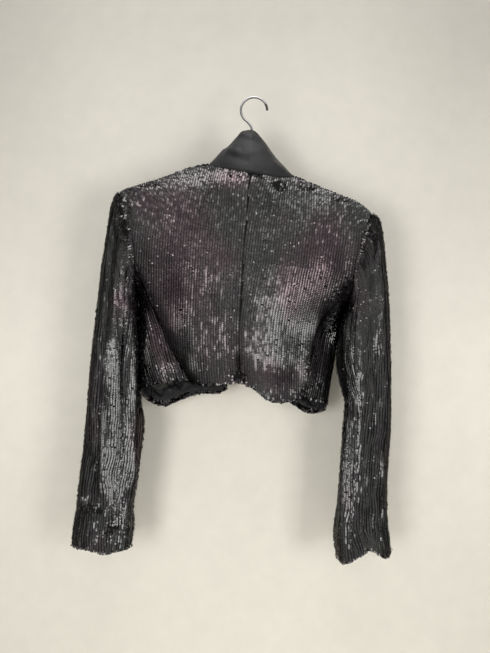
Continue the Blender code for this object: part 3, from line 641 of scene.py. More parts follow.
def side_grid(side, u, s):
    w = (s - UNDERARM) / (HEM - UNDERARM)
    opened = w ** FOLD_OPENING
    top = armhole(side, BACK_SEAM_ANGLE + (FRONT_SEAM_ANGLE - BACK_SEAM_ANGLE) * u)
    grid = patch(
        back_edge(side, s), front_outer_edge(side, s), top, share(side["side_hem"], u), u, 1 - opened, opened
    )
    reach = np.asarray(side["side_reach"], float)
    sign = side["sign"]
    below_armhole = sign * top[:, 0] - SLEEVE_CLEARANCE * smoothstep(*CLEAR_FROM, w)[:, None]
    beside_sleeve = sign * np.interp(grid[..., 2], reach[:, 0], reach[:, 1])
    kept = np.minimum(sign * grid[..., 0], np.minimum(below_armhole, beside_sleeve))
    grid[1:, 1:-1, 0] = sign * kept[1:, 1:-1]
    return grid


def sleeve_grid(side, angles, rows):
    """Sections of the sleeve at row numbers from 0, the armhole, to the cuff."""
    head = (
        side["tip"][0], side["tip"][2], side["underarm"][0], side["underarm"][2], side["half_depth"],
        side["underarm"][1], side["cut_in"],
    )
    outer_x, outer_z, inner_x, inner_z, half_depth, inner_y, cut_in = along([head, *side["sleeve"]], rows).T
    high = np.stack([outer_x, 0 * outer_x, outer_z], axis=-1)[:, None]
    low = np.stack([inner_x, inner_y, inner_z], axis=-1)[:, None]
    turn = np.tile(angles, (len(rows), 1))
    grid = loop_section(high, low, half_depth[:, None], -side["sign"] * cut_in[:, None], turn)
    last = len(side["sleeve"])
    drop = np.asarray(side["cuff"], float)
    place = (1 - np.cos(angles)) / 2
    near_cuff = smoothstep(last - CUFF_ROWS, last, rows)
    grid[..., 2] -= np.outer(near_cuff, np.interp(place, drop[:, 0], drop[:, 1]))
    return grid


def close_shares(count, near=NEAR_ENDS):
    """Even shares from 0 to 1, with a few more close to each end."""
    near = np.asarray(near)
    return np.unique(np.round(np.concatenate([np.linspace(0, 1, count + 1), near, 1 - near]), 6))


def steps_along(grid, axis):
    """Length from the first line of a grid to each point, along an axis."""
    steps = np.linalg.norm(np.diff(grid, axis=axis), axis=2)
    return np.concatenate([np.zeros_like(steps.take([0], axis=axis)), np.cumsum(steps, axis=axis)], axis=axis)


def face_normals(grid, flip):
    across = grid[1:, 1:] - grid[:-1, :-1]
    other = grid[:-1, 1:] - grid[1:, :-1]
    return np.cross(other, across) * (-1 if flip else 1)


def shared_normals(panels):
    """Normals at every point, the same for points at one place, so that panels meet along a seam."""
    sizes = {name: panel["grid"].shape[0] * panel["grid"].shape[1] for name, panel in panels.items()}
    points = np.concatenate([panel["grid"].reshape(-1, 3) for panel in panels.values()])
    _, index = np.unique(np.round(points, 3), axis=0, return_inverse=True)
    index = index.reshape(-1)
    sums = np.zeros((index.max() + 1, 3))
    start = 0
    for name, panel in panels.items():
        place = index[start:start + sizes[name]].reshape(panel["grid"].shape[:2])
        faces = face_normals(panel["grid"], panel["flip"]).reshape(-1, 3)
        for corner in (place[:-1, :-1], place[1:, :-1], place[:-1, 1:], place[1:, 1:]):
            np.add.at(sums, corner.reshape(-1), faces)
        start += sizes[name]
    sums /= np.linalg.norm(sums, axis=1, keepdims=True)
    start = 0
    for name, panel in panels.items():
        panel["normals"] = sums[index[start:start + sizes[name]]].reshape(panel["grid"].shape)
        start += sizes[name]


def fold_depth(folds, rows, places, turn=None):
    """How far a fold table pushes each row and place in. A turn wraps places round."""
    depth = np.zeros((len(rows), len(places)))
    for first, first_place, last, last_place, deep, half_width in folds:
        middle = np.interp(rows, (first, last), (first_place, last_place))
        off = places[None, :] - middle[:, None]
        if turn:
            off = (off + turn / 2) % turn - turn / 2
        begun = smoothstep(first - FOLD_ENDS, first + FOLD_ENDS, rows)
        ended = smoothstep(last - FOLD_ENDS, last + FOLD_ENDS, rows)
        depth += deep * (begun * (1 - ended))[:, None] * np.exp(-((off / half_width) ** 2))
    return depth


def near_line(points, start, end, half_width):
    """1 on the line from start to end, falling softly to 0 beside it and past its ends."""
    start, end = np.asarray(start, float), np.asarray(end, float)
    way = end - start
    t = np.clip(((points - start) @ way) / (way @ way), 0.0, 1.0)
    off = np.linalg.norm(points - start - t[..., None] * way, axis=-1)
    return np.exp(-((off / half_width) ** 2))


def near_spot(points, x, z, half_width, half_height):
    """1 at a place seen from the back, falling softly to 0 around it."""
    return np.exp(-(((points[:, 0] - x) / half_width) ** 2) - ((points[:, 2] - z) / half_height) ** 2)


def pattern(name, points):
    """Noise of a named pattern at each point."""
    width, length, start = PATTERNS[name]
    places = points / np.array([width, width, length], float) + np.array(start, float)
    return np.array([noise.noise(Vector(place)) for place in places.tolist()])


def strand_pattern(name, strand, down):
    """Noise of a named pattern for each strand, at each distance down it."""
    step, start, length, third = STRAND_PATTERNS[name]
    lines, places = np.broadcast_arrays(np.multiply(strand, step) + start, np.divide(down, length))
    return np.array([noise.noise(Vector((line, place, third))) for line, place in zip(lines, places)])


def unevenness(grid):
    """Small soft swells of the cloth, longer down than across."""
    flat = grid.reshape(-1, 3)
    small, large = SMALL_AND_LARGE
    return (small * pattern("small", flat) + large * pattern("large", flat)).reshape(grid.shape[:2])


def sewn_distance(panel):
    """Distance from each point to the nearest sewn edge of its panel."""
    across, down = steps_along(panel["grid"], 1), steps_along(panel["grid"], 0)
    ways = {
        "first": across, "last": across[:, -1:] - across, "top": down, "bottom": down[-1:] - down,
    }
    return np.min([ways[edge] for edge in panel["sewn"]], axis=0)


def press(panels, cloth):
    """Presses folds, creases, swells and seams into the panels, and finds their final normals."""
    shared_normals(panels)
    for panel in panels.values():
        away = sewn_distance(panel)
        inside = 1 - np.exp(-((away / CREASE_FADE) ** 2))
        depth = panel["folds"] + panel["creases"] * inside * cloth.crease_depth
        depth = depth + cloth.unevenness / MM * unevenness(panel["grid"])
        depth = depth + cloth.seam_dip / MM * np.exp(-((away / SEAM_REACH) ** 2))
        panel["plain"] = panel["grid"] - panel["normals"] * panel["folds"][..., None]
        panel["grid"] = panel["grid"] - panel["normals"] * depth[..., None]
    shared_normals(panels)


def creases_on(grid, creases):
    """Depth of creases that are given as seen on a face, at each point of a grid."""
    depth = np.zeros(grid.shape[:2])
    for x, z, to_x, to_z, deep, half_width in creases:
        depth += deep * near_line(grid[..., [0, 2]], (x, z), (to_x, to_z), half_width)
    return depth


def body_panels():
    """The six flat panels of the body: their outer points, folds and creases."""
    above = UNDERARM * close_shares(ABOVE_STEPS)
    s = np.unique(np.concatenate([above, UNDERARM + (HEM - UNDERARM) * close_shares(BELOW_STEPS)]))
    half = close_shares(WIDTH_STEPS)
    neck = NECK_SHARE * close_shares(NECK_STEPS)
    whole = np.unique(np.concatenate([neck, NECK_SHARE + (1 - NECK_SHARE) * half]))
    panels = {}
    for label, side in SIDES.items():
        right = side["sign"] > 0
        for piece, make, u, rows, sewn, flip in (
            ("back", back_grid, whole, s, ("first", "last", "top"), right),
            ("side", side_grid, close_shares(SIDE_STEPS), s[s >= UNDERARM], ("first", "last", "top"), right),
            ("front", front_grid, half, s, ("last", "top"), not right),
        ):
            node = f"{piece}_{label}"
            grid = make(side, u, rows)
            edges = np.sin(math.pi * np.clip(u, 0, 1)) ** 0.5
            panels[node] = {
                "grid": grid, "flip": flip, "sewn": sewn, "rows": rows, "u": u,
                "folds": fold_depth(side.get(piece + "_folds", []), rows, u) * np.nan_to_num(edges),
                "creases": creases_on(grid, [crease for panel, *crease in CREASES if panel == node]),
            }
    return panels


def sleeve_panels(label):
    """The two panels of a sleeve, cut from one round of sections."""
    side = SIDES[label]
    rows = len(side["sleeve"]) * close_shares(SLEEVE_STEPS, SLEEVE_NEAR) ** SLEEVE_CROWDING
    under = ELBOW_SEAM + (FOREARM_SEAM - ELBOW_SEAM) * close_shares(UNDER_STEPS, UNDER_NEAR)
    upper = FOREARM_SEAM + (ELBOW_SEAM + 2 * math.pi - FOREARM_SEAM) * close_shares(UPPER_STEPS, UPPER_NEAR)
    panels = {}
    for piece, angles in (("under", under), ("upper", upper)):
        grid = sleeve_grid(side, angles, rows)
        degrees = np.degrees(angles)
        down = steps_along(grid, 0).mean(axis=1)
        scale = steps_along(grid, 1)[:, -1].mean() / (degrees[-1] - degrees[0])
        creases = np.zeros(grid.shape[:2])
        for which, first, angle, to, to_angle, deep, half_width in SLEEVE_CREASES:
            if which != label:
                continue
            for turn in (0, 360):
                points = np.stack(np.meshgrid(down, (degrees - turn) * scale, indexing="ij"), axis=-1)
                start = (np.interp(first, rows, down), angle * scale)
                end = (np.interp(to, rows, down), to_angle * scale)
                creases += deep * near_line(points, start, end, half_width)
        panels[f"sleeve_{piece}_{label}"] = {
            "grid": grid, "flip": label == "left", "sewn": ("first", "last", "top"),
            "folds": fold_depth(side["sleeve_folds"], rows, degrees, 360.0), "creases": creases,
            "rows": rows, "u": angles,
        }
    return panels


def bilinear(grid, row, column):
    """Values of a grid at places between its rows and columns."""
    i = np.clip(row.astype(int), 0, grid.shape[0] - 2)
    j = np.clip(column.astype(int), 0, grid.shape[1] - 2)
    fy, fx = (row - i)[..., None], (column - j)[..., None]
    upper = grid[i, j] * (1 - fx) + grid[i, j + 1] * fx
    lower = grid[i + 1, j] * (1 - fx) + grid[i + 1, j + 1] * fx
    return upper * (1 - fy) + lower * fy


def unit(vectors):
    return vectors / np.maximum(np.linalg.norm(vectors, axis=-1, keepdims=True), 1e-9)


def shell(name, outer, inner, flip, materials, free=()):
    """A closed thin shell between two grids, with the rim rounded out along its free edges."""
    rows, columns = outer.shape[:2]
    count = rows * columns
    index = np.arange(count).reshape(rows, columns)
    rim = np.concatenate([index[0], index[1:, -1], index[-1, -2::-1], index[-2:0:-1, 0]])
    out = np.zeros_like(outer)
    for edge, at, inside in (
        ("top", np.s_[0], np.s_[1]), ("bottom", np.s_[-1], np.s_[-2]),
        ("first", np.s_[:, 0], np.s_[:, 1]), ("last", np.s_[:, -1], np.s_[:, -2]),
    ):
        if edge in free:
            out[at] += unit(outer[at] - outer[inside])
    thick = np.linalg.norm(outer - inner, axis=-1, keepdims=True)
    middle = ((outer + inner) / 2 + unit(out) * thick * RIM_ROUND).reshape(-1, 3)[rim]
    points = np.concatenate([outer.reshape(-1, 3), inner.reshape(-1, 3), middle])
    quads = np.stack([index[:-1, :-1], index[1:, :-1], index[1:, 1:], index[:-1, 1:]], axis=-1).reshape(-1, 4)
    there = np.roll(rim, -1)
    ring = 2 * count + np.arange(len(rim))
    next_ring = np.roll(ring, -1)
    edges = [
        np.stack([rim, there, next_ring, ring], axis=-1),
        np.stack([ring, next_ring, there + count, rim + count], axis=-1),
    ]
    faces = np.concatenate([quads, quads[:, ::-1] + count, *edges])
    if not flip:
        faces = faces[:, ::-1]
    mesh = bpy.data.meshes.new(name)
    mesh.from_pydata((points * MM).tolist(), [], faces.tolist())
    for material in materials:
        mesh.materials.append(material)
    slots = np.full(len(faces), len(materials) - 1)
    slots[:len(quads)] = 0
    mesh.polygons.foreach_set("material_index", slots)
    uv = np.stack([steps_along(outer, 1), steps_along(outer, 0)], axis=-1).reshape(-1, 2) * MM
    uv = np.concatenate([uv, uv, uv[rim]])
    corners = np.empty(len(mesh.loops), dtype=np.int64)
    mesh.loops.foreach_get("vertex_index", corners)
    mesh.uv_layers.new(name="flat").data.foreach_set("uv", uv[corners].astype(np.float32).ravel())
    mesh.shade_smooth()
    mesh.set_sharp_from_angle(angle=SHARP_ANGLE)
    mesh.update()
    return add_object(name, mesh)


def add_object(name, data):
    obj = bpy.data.objects.new(name, data)
    bpy.context.scene.collection.objects.link(obj)
    return obj


def strand_places(panel, looks):
    """Rows, columns and strands of sequins, on strands that run down beside a guide column."""
    grid, margins = panel["grid"], panel["margins"]
    across, down = steps_along(grid, 1), steps_along(grid, 0)
    rows, columns = np.arange(grid.shape[0]), np.arange(grid.shape[1])
    pitch, step = looks.strand_pitch / MM, looks.step_pitch / MM
    middle = np.array([np.interp(panel["guide"] * columns[-1], columns, line) for line in across])
    low = np.min(margins["first"] - middle)
    high = np.max(across[:, -1] - margins["last"] - middle)
    first = 0.5 if panel["guide"] else FIRST_STRAND
    change, start, *cell = PHASE_CELL
    found = []
    for strand in range(math.floor(low / pitch), math.ceil(high / pitch) + 1):
        wave = strand_pattern("wave", strand, down.mean(axis=1))
        place = middle + (strand + first) * pitch + panel["wave"] * wave
        inside = (place >= margins["first"]) & (place <= across[:, -1] - margins["last"])
        if not inside.any():
            continue
        column = np.array([np.interp(p, line, columns) for p, line in zip(place, across)])
        lengths = line_lengths(bilinear(grid, rows.astype(float), column))
        phase = (0.5 + 0.5 * noise.cell(Vector((strand * change + start, *cell)))) * step
        at = np.arange(margins["top"] + phase, lengths[-1] - margins["bottom"], step)
        at = at + STEP_WANDER * step * strand_pattern("wander", strand, at)
        row = np.interp(np.clip(at, margins["top"], lengths[-1] - margins["bottom"]), lengths, rows)
        room = np.interp(row, rows, 1.0 * inside) > 0.99
        column = np.interp(row, rows, column)
        found.append(np.stack([row, column, np.full(len(row), float(strand))], axis=-1)[room])
    return np.concatenate(found).T


def line_lengths(line):
    """Length along a line of points up to each of them."""
    return np.concatenate([[0], np.cumsum(np.linalg.norm(np.diff(line, axis=0), axis=1))])


def edge_places(panel, looks):
    """Rows and columns of the sequins sewn right along edges of the panel, and how ruffled they are."""
    grid = panel["grid"]
    rows, columns = grid.shape[:2]
    margin = looks.seam_margin / MM
    found = []
    for edge, ruffle in panel["edged"].items():
        row = {"top": 0.0, "bottom": rows - LAST_LINE}.get(edge)
        column = {"first": 0.0, "last": columns - LAST_LINE}.get(edge)
        lengths = line_lengths(grid[round(row)] if column is None else grid[:, round(column)])
        step = FRINGE_STEP if ruffle > FRINGE_RUFFLE else looks.step_pitch / MM
        at = np.arange(margin, lengths[-1] - margin, step)
        along_edge = np.interp(at, lengths, np.arange(len(lengths)))
        place = [row, along_edge] if column is None else [along_edge, column]
        found.append(np.stack(np.broadcast_arrays(*place, ruffle), axis=-1))
    return np.concatenate(found).T


def on_the_back(facing):
    """1 where sequins face back, falling to 0 where they face aside."""
    return smoothstep(*BACK_FACING, -facing[:, 1])


def brush_of(points, back):
    """How many degrees the sequins are brushed up and aside at each point."""
    up = np.zeros(len(points))
    aside = np.zeros(len(points))
    for *spot, tip_up, tip_aside in BRUSHED:
        near = near_spot(points, *spot) * back
        up += tip_up * near
        aside += tip_aside * near
    return up, aside


def purple_at(points, back):
    """How purple the sequins are at each point: in places on the back, and a little everywhere."""
    purple = PURPLE_BASE + PURPLE_SPREAD * pattern("purple", points)
    for *spot, strength in PURPLE:
        purple += strength * near_spot(points, *spot) * back
    return np.clip(purple, 0, 1)


def worn_at(points):
    """How worn the cloth is at each point: sequins are ruffled there, and gone where it is past WORN_OFF."""
    worn = np.zeros(len(points))
    ragged = np.clip(1 + WORN_RAGGED * pattern("worn", points), 0, 2)
    for *spot, depth in WORN:
        worn = np.maximum(worn, depth * near_spot(points, *spot) * ragged)
    return worn * smoothstep(0.0, WORN_FADE, WORN_END - points[:, 1])


def even_normals(panel):
    """Normals of a back, evened out across it near its top, where its neck edge curves."""
    even = panel["normals"].copy()
    for _ in range(NORMAL_PASSES):
        even[:, 1:-1] = 0.25 * even[:, :-2] + 0.5 * even[:, 1:-1] + 0.25 * even[:, 2:]
    near_top = 1 - smoothstep(*EVEN_STATIONS, panel["rows"])[:, None, None]
    return unit(panel["normals"] + near_top * (even - panel["normals"]))


class Discs:
    """Values of a panel's sequins: an array for each kind of value, with a row for each sequin."""

    def __init__(self, **values):
        vars(self).update(values)

    def picked(self, rows):
        """The sequins that a mask or row numbers pick."""
        return Discs(**{name: value[rows] for name, value in vars(self).items()})


def placed_discs(panel, looks):
    """Where the sequins of a panel sit and how they face, without those under a lapel or worn off."""
    row, column, strand = strand_places(panel, looks)
    edge_row, edge_column, edge_ruffle = edge_places(panel, looks)
    fringe = np.where(edge_row > 0, BOTTOM_FRINGE, TOP_FRINGE)
    discs = Discs(
        row=np.concatenate([row, edge_row]), column=np.concatenate([column, edge_column]),
        strand=np.concatenate([strand, np.where(edge_ruffle < FRINGE_RUFFLE, BESIDE_SEAM, fringe)]),
        ruffle=np.concatenate([np.zeros(len(row)), edge_ruffle]),
    )
    if "covered" in panel:
        station = np.interp(discs.row, np.arange(len(panel["rows"])), panel["rows"])
        width = np.interp(discs.column, np.arange(len(panel["u"])), panel["u"])
        discs = discs.picked((width > np.interp(station, *panel["covered"])) | (discs.ruffle > FRINGE_RUFFLE))
    normals = even_normals(panel) if panel["kind"] == "back" else panel["normals"]
    discs.points = bilinear(panel["grid"], discs.row, discs.column)
    discs.facing = unit(bilinear(normals, discs.row, discs.column))
    discs.worn = worn_at(discs.points)
    discs = discs.picked(discs.worn < WORN_OFF)
    ahead = bilinear(panel["grid"], np.minimum(discs.row + 0.5, panel["grid"].shape[0] - 1), discs.column)
    behind = bilinear(panel["grid"], np.maximum(discs.row - 0.5, 0), discs.column)
    discs.down = unit(ahead - behind)
    return discs


def raggedness(panel, discs):
    """How ragged sequins are near the top and bottom edges, in clumps."""
    down = steps_along(panel["grid"], 0)
    from_top = bilinear(down[..., None], discs.row, discs.column)[:, 0]
    to_hem = bilinear((down[-1:] - down)[..., None], discs.row, discs.column)[:, 0]
    ragged = TOP_RAGGED * np.exp(-((from_top / TOP_REACH) ** 2))
    ragged = ragged + HEM_RAGGED * np.exp(-((to_hem / HEM_REACH) ** 2))
    return ragged * smoothstep(*CLUMPS, pattern("clumps", discs.points)) * panel["rough"]


def tip_discs(discs, panel):
    """Finds how far sequins tip up and aside, in degrees, how they run and how ruffled they are."""
    points, facing = discs.points, discs.facing
    brushed, aside = brush_of(points, on_the_back(facing))
    fine, runs, discs.swell = (pattern(name, points) for name in ("fine", "runs", "swell"))
    discs.twist, swing = (strand_pattern(name, discs.strand, points[:, 2]) for name in ("twist", "swing"))
    slope = np.clip(np.degrees(np.arcsin(facing[:, 2])), *SLOPES)
    yaw = np.clip(np.degrees(np.arctan2(facing[:, 0], -facing[:, 1])), *YAWS)
    twisted = panel["twisted"] * (1 - STILLED * np.clip(brushed / STILL_BRUSH, 0, 1))
    kept = np.maximum(1.0 + FINE * (1 - np.clip(brushed / EVEN_BRUSH, 0, MOST_EVEN)) * fine, LEAST_BRUSH)
    up = brushed * kept - HANG * slope - STEEP_HANG * np.maximum(slope - STEEP, 0)
    up = up + STRAND_SWING * np.clip(brushed, 0, MOST_SWING) * swing
    discs.up = up + TWIST_SWING * twisted * swing
    discs.aside = aside + twisted * discs.twist - LEVELLED * yaw * np.clip(brushed / LEVEL_BRUSH, 0, 1)
    uneven = panel["uneven"] * smoothstep(*UNEVEN_FROM, discs.swell)
    rim = panel["rim"] * smoothstep(*RUFFLED_TURN, 1 + facing[:, 1])
    ruffle = discs.worn + panel["loose"] + uneven + rim + raggedness(panel, discs)
    discs.ruffle = np.maximum(discs.ruffle, ruffle)
    rest, with_brush, with_twist = LIVELY
    lively = np.clip(rest + with_brush * brushed + with_twist * twisted, *LIVELIEST)
    risen = smoothstep(RUN_FROM - RUN_SWELL * discs.swell, RUN_FULL, runs)
    discs.runs = lively * risen - DIP * smoothstep(*DIP_FROM, -runs)


def with_turned_rows(discs, wall):
    """The sequins of a front, and rows of its fringe again on the inside of the turned-up hem."""
    fringe = np.flatnonzero(discs.strand == BOTTOM_FRINGE)
    again = np.concatenate([np.arange(len(discs.points))] + [fringe] * len(TURNED_HEM))
    above = np.concatenate([np.zeros(len(discs.points)), np.repeat(TURNED_HEM, len(fringe))])
    x = discs.points[again, 0]
    kept = ~((x > FLAT_HEM[0]) & (x < FLAT_HEM[1]) & (above > TURNED_HEM[0]))
    discs, above = discs.picked(again[kept]), above[kept]
    turned = above > 0
    away = turned[:, None] * (discs.down * above[:, None] + discs.facing * wall)
    sway = turned[:, None] * np.cross(discs.down, discs.facing) * (TURNED_SWAY * discs.twist)[:, None]
    discs.points = discs.points - away + sway
    discs.facing = np.where(turned[:, None], -discs.facing, discs.facing)
    discs.strand = np.where(turned, BESIDE_SEAM, discs.strand)
    discs.up = np.where(turned, TURNED_TIP, discs.up)
    discs.ruffle = np.where(turned, TURNED_RUFFLE, discs.ruffle)
    return discs


def settled(discs, run_tilt):
    """How far sequins tip up once they run together, lift along hems and are damped, in degrees."""
    up = discs.up + run_tilt * discs.runs + HEM_LIFT * (discs.strand == BOTTOM_FRINGE)
    soft = SOFT_TILT + LOW_TILT * np.clip(LOW_Z - discs.points[:, 2], 0, LOW_REACH)
    return np.where(up > soft, soft + TILT_DAMPING * np.tanh((up - soft) / TILT_DAMPING), up)


def stand_heights(discs, panel, looks):
    """How high sequins stand, in metres: more where they tip up, and bumpy or sunk on the outline."""
    tilt = np.clip(np.radians(np.hypot(discs.up, discs.aside)), 0, MOST_TILT)
    rise = (1 - panel["slim"]) * STRAND_RISE * strand_pattern("rise", discs.strand, RISE_PLACE)
    height = looks.stand_off + STAND_UP * looks.radius * np.sin(tilt) + rise
    outline = smoothstep(*OUTLINE_TURN, 1 + discs.facing[:, 1])
    bumps = BUMPS * panel["rim"] * np.clip(pattern("bumps", discs.points) + BUMP_SHIFT, 0, MOST_BUMP)
    return height + outline * MM * (bumps - panel["sunk"])


def sequin_guide(name, panel, looks):
    """A mesh of loose points, one for each sequin, with the way it faces and how it is brushed."""
    discs = placed_discs(panel, looks)
    tip_discs(discs, panel)
    if panel["kind"] == "front":
        discs = with_turned_rows(discs, bpy.context.scene.blazer_cloth.thickness / MM)
    purple = purple_at(discs.points, on_the_back(discs.facing))
    over = 1.0 * (discs.strand == BOTTOM_FRINGE) - TOP_OVERHANG * (discs.strand == TOP_FRINGE)
    hanging = OVERHANG * over * (0.5 + pattern("overhang", discs.points))
    discs.points = discs.points + discs.down * hanging[:, None]
    discs.up = settled(discs, np.degrees(looks.run_tilt))
    height = stand_heights(discs, panel, looks)
    mesh = bpy.data.meshes.new(name)
    mesh.from_pydata((discs.points * MM + discs.facing * height[:, None]).tolist(), [], [])
    for label, values in {
        "facing": discs.facing, "down": discs.down, "nap": np.radians(discs.up),
        "lean": np.radians(discs.aside), "tone": 0.5 + 0.5 * discs.swell, "ruffle": discs.ruffle,
        "purple": purple, "width": np.full(len(height), panel["slim"]),
    }.items():
        kind, field = ("FLOAT", "value") if values.ndim == 1 else ("FLOAT_VECTOR", "vector")
        mesh.attributes.new(label, kind, "POINT").data.foreach_set(field, values.astype(np.float32).ravel())
    return add_object(name, mesh)


def socket(tree, name, kind, default=None, role="INPUT", subtype=None):
    made = tree.interface.new_socket(name=name, in_out=role, socket_type=kind)
    if subtype:
        made.subtype = subtype
    if default is not None:
        made.default_value = default
    return made


class Nodes:
    """Adds nodes to a tree and joins them with few words."""

    def __init__(self, tree):
        self.tree = tree

    def join(self, value, entry):
        """Gives a socket a value, or links it to the output of another node."""
        if isinstance(value, bpy.types.NodeSocket):
            self.tree.links.new(value, entry)
        else:
            entry.default_value = value

    def add(self, kind, *inputs, **settings):
        """A node with properties from settings, and sockets from pairs of a socket and a value or output."""
        node = self.tree.nodes.new(kind)
        for key, value in settings.items():
            setattr(node, key, value)
        for key, value in inputs:
            self.join(value, node.inputs[key])
        return node

    def made(self, kind, *inputs, **settings):
        """The first output of a new node."""
        return self.add(kind, *inputs, **settings).outputs[0]

    def math(self, operation, first, second=0.0):
        return self.made("ShaderNodeMath", (0, first), (1, second), operation=operation)

    def times(self, first, second):
        return self.math("MULTIPLY", first, second)

    def plus(self, first, second):
        return self.math("ADD", first, second)

    def ramp(self, value, reach, **settings):
        """A value taken from between the first two numbers of a reach to between its last two."""
        ends = zip(("From Min", "From Max", "To Min", "To Max"), reach)
        return self.made("ShaderNodeMapRange", ("Value", value), *ends, **settings)

    def scaled(self, vector, factor):
        return self.made("ShaderNodeVectorMath", (0, vector), ("Scale", factor), operation="SCALE")

    def combined(self, *parts):
        return self.made("ShaderNodeCombineXYZ", *enumerate(parts))

    def mixed(self, factor, first, second):
        """A colour between two."""
        return self.add("ShaderNodeMix", (0, factor), (6, first), (7, second), data_type="RGBA").outputs[2]

    def texture(self, vector, scale, detail, *inputs):
        own = (("Vector", vector), ("Scale", scale), ("Detail", detail))
        return self.made("ShaderNodeTexNoise", *own, *inputs)

    def bump(self, height, strength, distance, *inputs):
        own = (("Height", height), ("Strength", strength), ("Distance", distance))
        return self.made("ShaderNodeBump", *own, *inputs)

    def coordinates(self, kind="Object"):
        return self.add("ShaderNodeTexCoord").outputs[kind]

    def named(self, name, kind="FLOAT"):
        node = self.add("GeometryNodeInputNamedAttribute", ("Name", name), data_type=kind)
        return node.outputs["Attribute"]

    def random(self, draw, seed, low=0.0, high=1.0):
        """A random number for each point or instance."""
        node = self.add("FunctionNodeRandomValue", data_type="FLOAT")
        self.join(self.plus(seed, DRAWS[draw]), node.inputs["Seed"])
        for key, value in (("Min", low), ("Max", high)):
            self.join(value, [entry for entry in node.inputs if entry.name == key and entry.enabled][0])
        return [end for end in node.outputs if end.enabled][0]


# Inputs of the sequins' tree: name, kind of socket and subtype
SEQUIN_INPUTS = (
    ("Radius", "NodeSocketFloat", "DISTANCE"), ("Dome", "NodeSocketFloat", "DISTANCE"),
    ("Bend", "NodeSocketFloat", "DISTANCE"), ("Lift", "NodeSocketFloat", "ANGLE"),
    ("Scatter", "NodeSocketFloat", "ANGLE"), ("Loose share", "NodeSocketFloat", "FACTOR"),
    ("Loose tilt", "NodeSocketFloat", "ANGLE"), ("Ruffle tilt", "NodeSocketFloat", "ANGLE"),
    ("Size spread", "NodeSocketFloat", "FACTOR"), ("Stretch", "NodeSocketFloat", "FACTOR"),
    ("Seed", "NodeSocketInt", None), ("Material", "NodeSocketMaterial", None),
)


def sequin_disc(n, given):
    """One small domed disc, its sides bent back."""
    cone = n.made(
        "GeometryNodeMeshCone", ("Vertices", DISC_SIDES), ("Radius Top", 0.0),
        ("Radius Bottom", given["Radius"]), ("Depth", given["Dome"]), fill_type="NGON",
    )
    turned = n.made("GeometryNodeTransform", ("Geometry", cone), ("Rotation", (0, 0, math.pi / DISC_SIDES)))
    across = n.made("ShaderNodeSeparateXYZ", (0, n.made("GeometryNodeInputPosition")))
    off = n.math("DIVIDE", across, given["Radius"])
    drop = n.times(n.times(off, off), n.times(given["Bend"], -1.0))
    return n.made("GeometryNodeSetPosition", ("Geometry", turned), ("Offset", n.combined(0.0, 0.0, drop)))


def sequin_turn(n, given):
    """How a sequin is turned: laid on the cloth along its strand, then tipped up and aside."""
    seed = given["Seed"]
    loose = n.math("LESS_THAN", n.random("loose", seed), given["Loose share"])
    spread = n.plus(given["Scatter"], n.times(loose, given["Loose tilt"]))
    spread = n.plus(spread, n.times(n.named("ruffle"), given["Ruffle tilt"]))
    tip_up = n.plus(n.plus(given["Lift"], n.named("nap")), n.times(n.random("tip", seed, *TIP_DRAW), spread))
    tip_aside = n.plus(n.times(n.random("aside", seed, *ASIDE_DRAW), spread), n.named("lean"))
    facing, down = (n.named(name, "FLOAT_VECTOR") for name in ("facing", "down"))
    laid = n.made(
        "FunctionNodeAxesToRotation", ("Primary Axis", facing), ("Secondary Axis", n.scaled(down, -1.0)),
        primary_axis="Z", secondary_axis="Y",
    )
    turn = n.made("FunctionNodeEulerToRotation", (0, n.combined(n.times(tip_up, -1.0), tip_aside)))
    return n.made(
        "FunctionNodeRotateRotation", ("Rotation", laid), ("Rotate By", turn), rotation_space="LOCAL"
    )


def sequin_tree():
    """Geometry Nodes: a disc on every point, tilted by the point's attributes and a little at random."""
    tree = bpy.data.node_groups.new("Sequins on points", "GeometryNodeTree")
    tree.is_modifier = True
    socket(tree, "Points", "NodeSocketGeometry")
    for name, kind, subtype in SEQUIN_INPUTS:
        socket(tree, name, kind, subtype=subtype)
    socket(tree, "Geometry", "NodeSocketGeometry", role="OUTPUT")
    n = Nodes(tree)
    given = n.add("NodeGroupInput").outputs
    size = n.plus(1.0, n.times(n.random("size", given["Seed"], -1.0, 1.0), given["Size spread"]))
    scale = n.combined(n.times(size, n.named("width")), n.times(size, given["Stretch"]), size)
    placed = n.made(
        "GeometryNodeInstanceOnPoints", ("Points", given["Points"]), ("Instance", sequin_disc(n, given)),
        ("Rotation", sequin_turn(n, given)), ("Scale", scale),
    )
    marked = n.made(
        "GeometryNodeStoreNamedAttribute", ("Geometry", placed), ("Name", "shade"),
        ("Value", n.random("shade", given["Seed"])), data_type="FLOAT", domain="INSTANCE",
    )
    real = n.made("GeometryNodeRealizeInstances", ("Geometry", marked))
    done = n.made("GeometryNodeSetMaterial", ("Geometry", real), ("Material", given["Material"]))
    n.add("NodeGroupOutput", (0, done))
    return tree


def sew_sequins(name, panel, looks, seed):
    """The strands of sequins of one panel, as one plain mesh."""
    obj = sequin_guide(name, panel, looks)
    tree = bpy.data.node_groups.get("Sequins on points") or sequin_tree()
    modifier = obj.modifiers.new("Sequins", "NODES")
    modifier.node_group = tree
    others = {"Seed": seed, "Material": material("sequins")}
    for item in tree.interface.items_tree:
        if item.in_out == "INPUT" and item.name != "Points":
            field = item.name.lower().replace(" ", "_")
            modifier[item.identifier] = others[item.name] if item.name in others else getattr(looks, field)
    bpy.context.view_layer.update()
    made = obj.evaluated_get(bpy.context.evaluated_depsgraph_get())
    mesh = bpy.data.meshes.new_from_object(made)
    obj.modifiers.clear()
    guide_mesh = obj.data
    obj.data = mesh
    mesh.name = name
    bpy.data.meshes.remove(guide_mesh)
    return obj


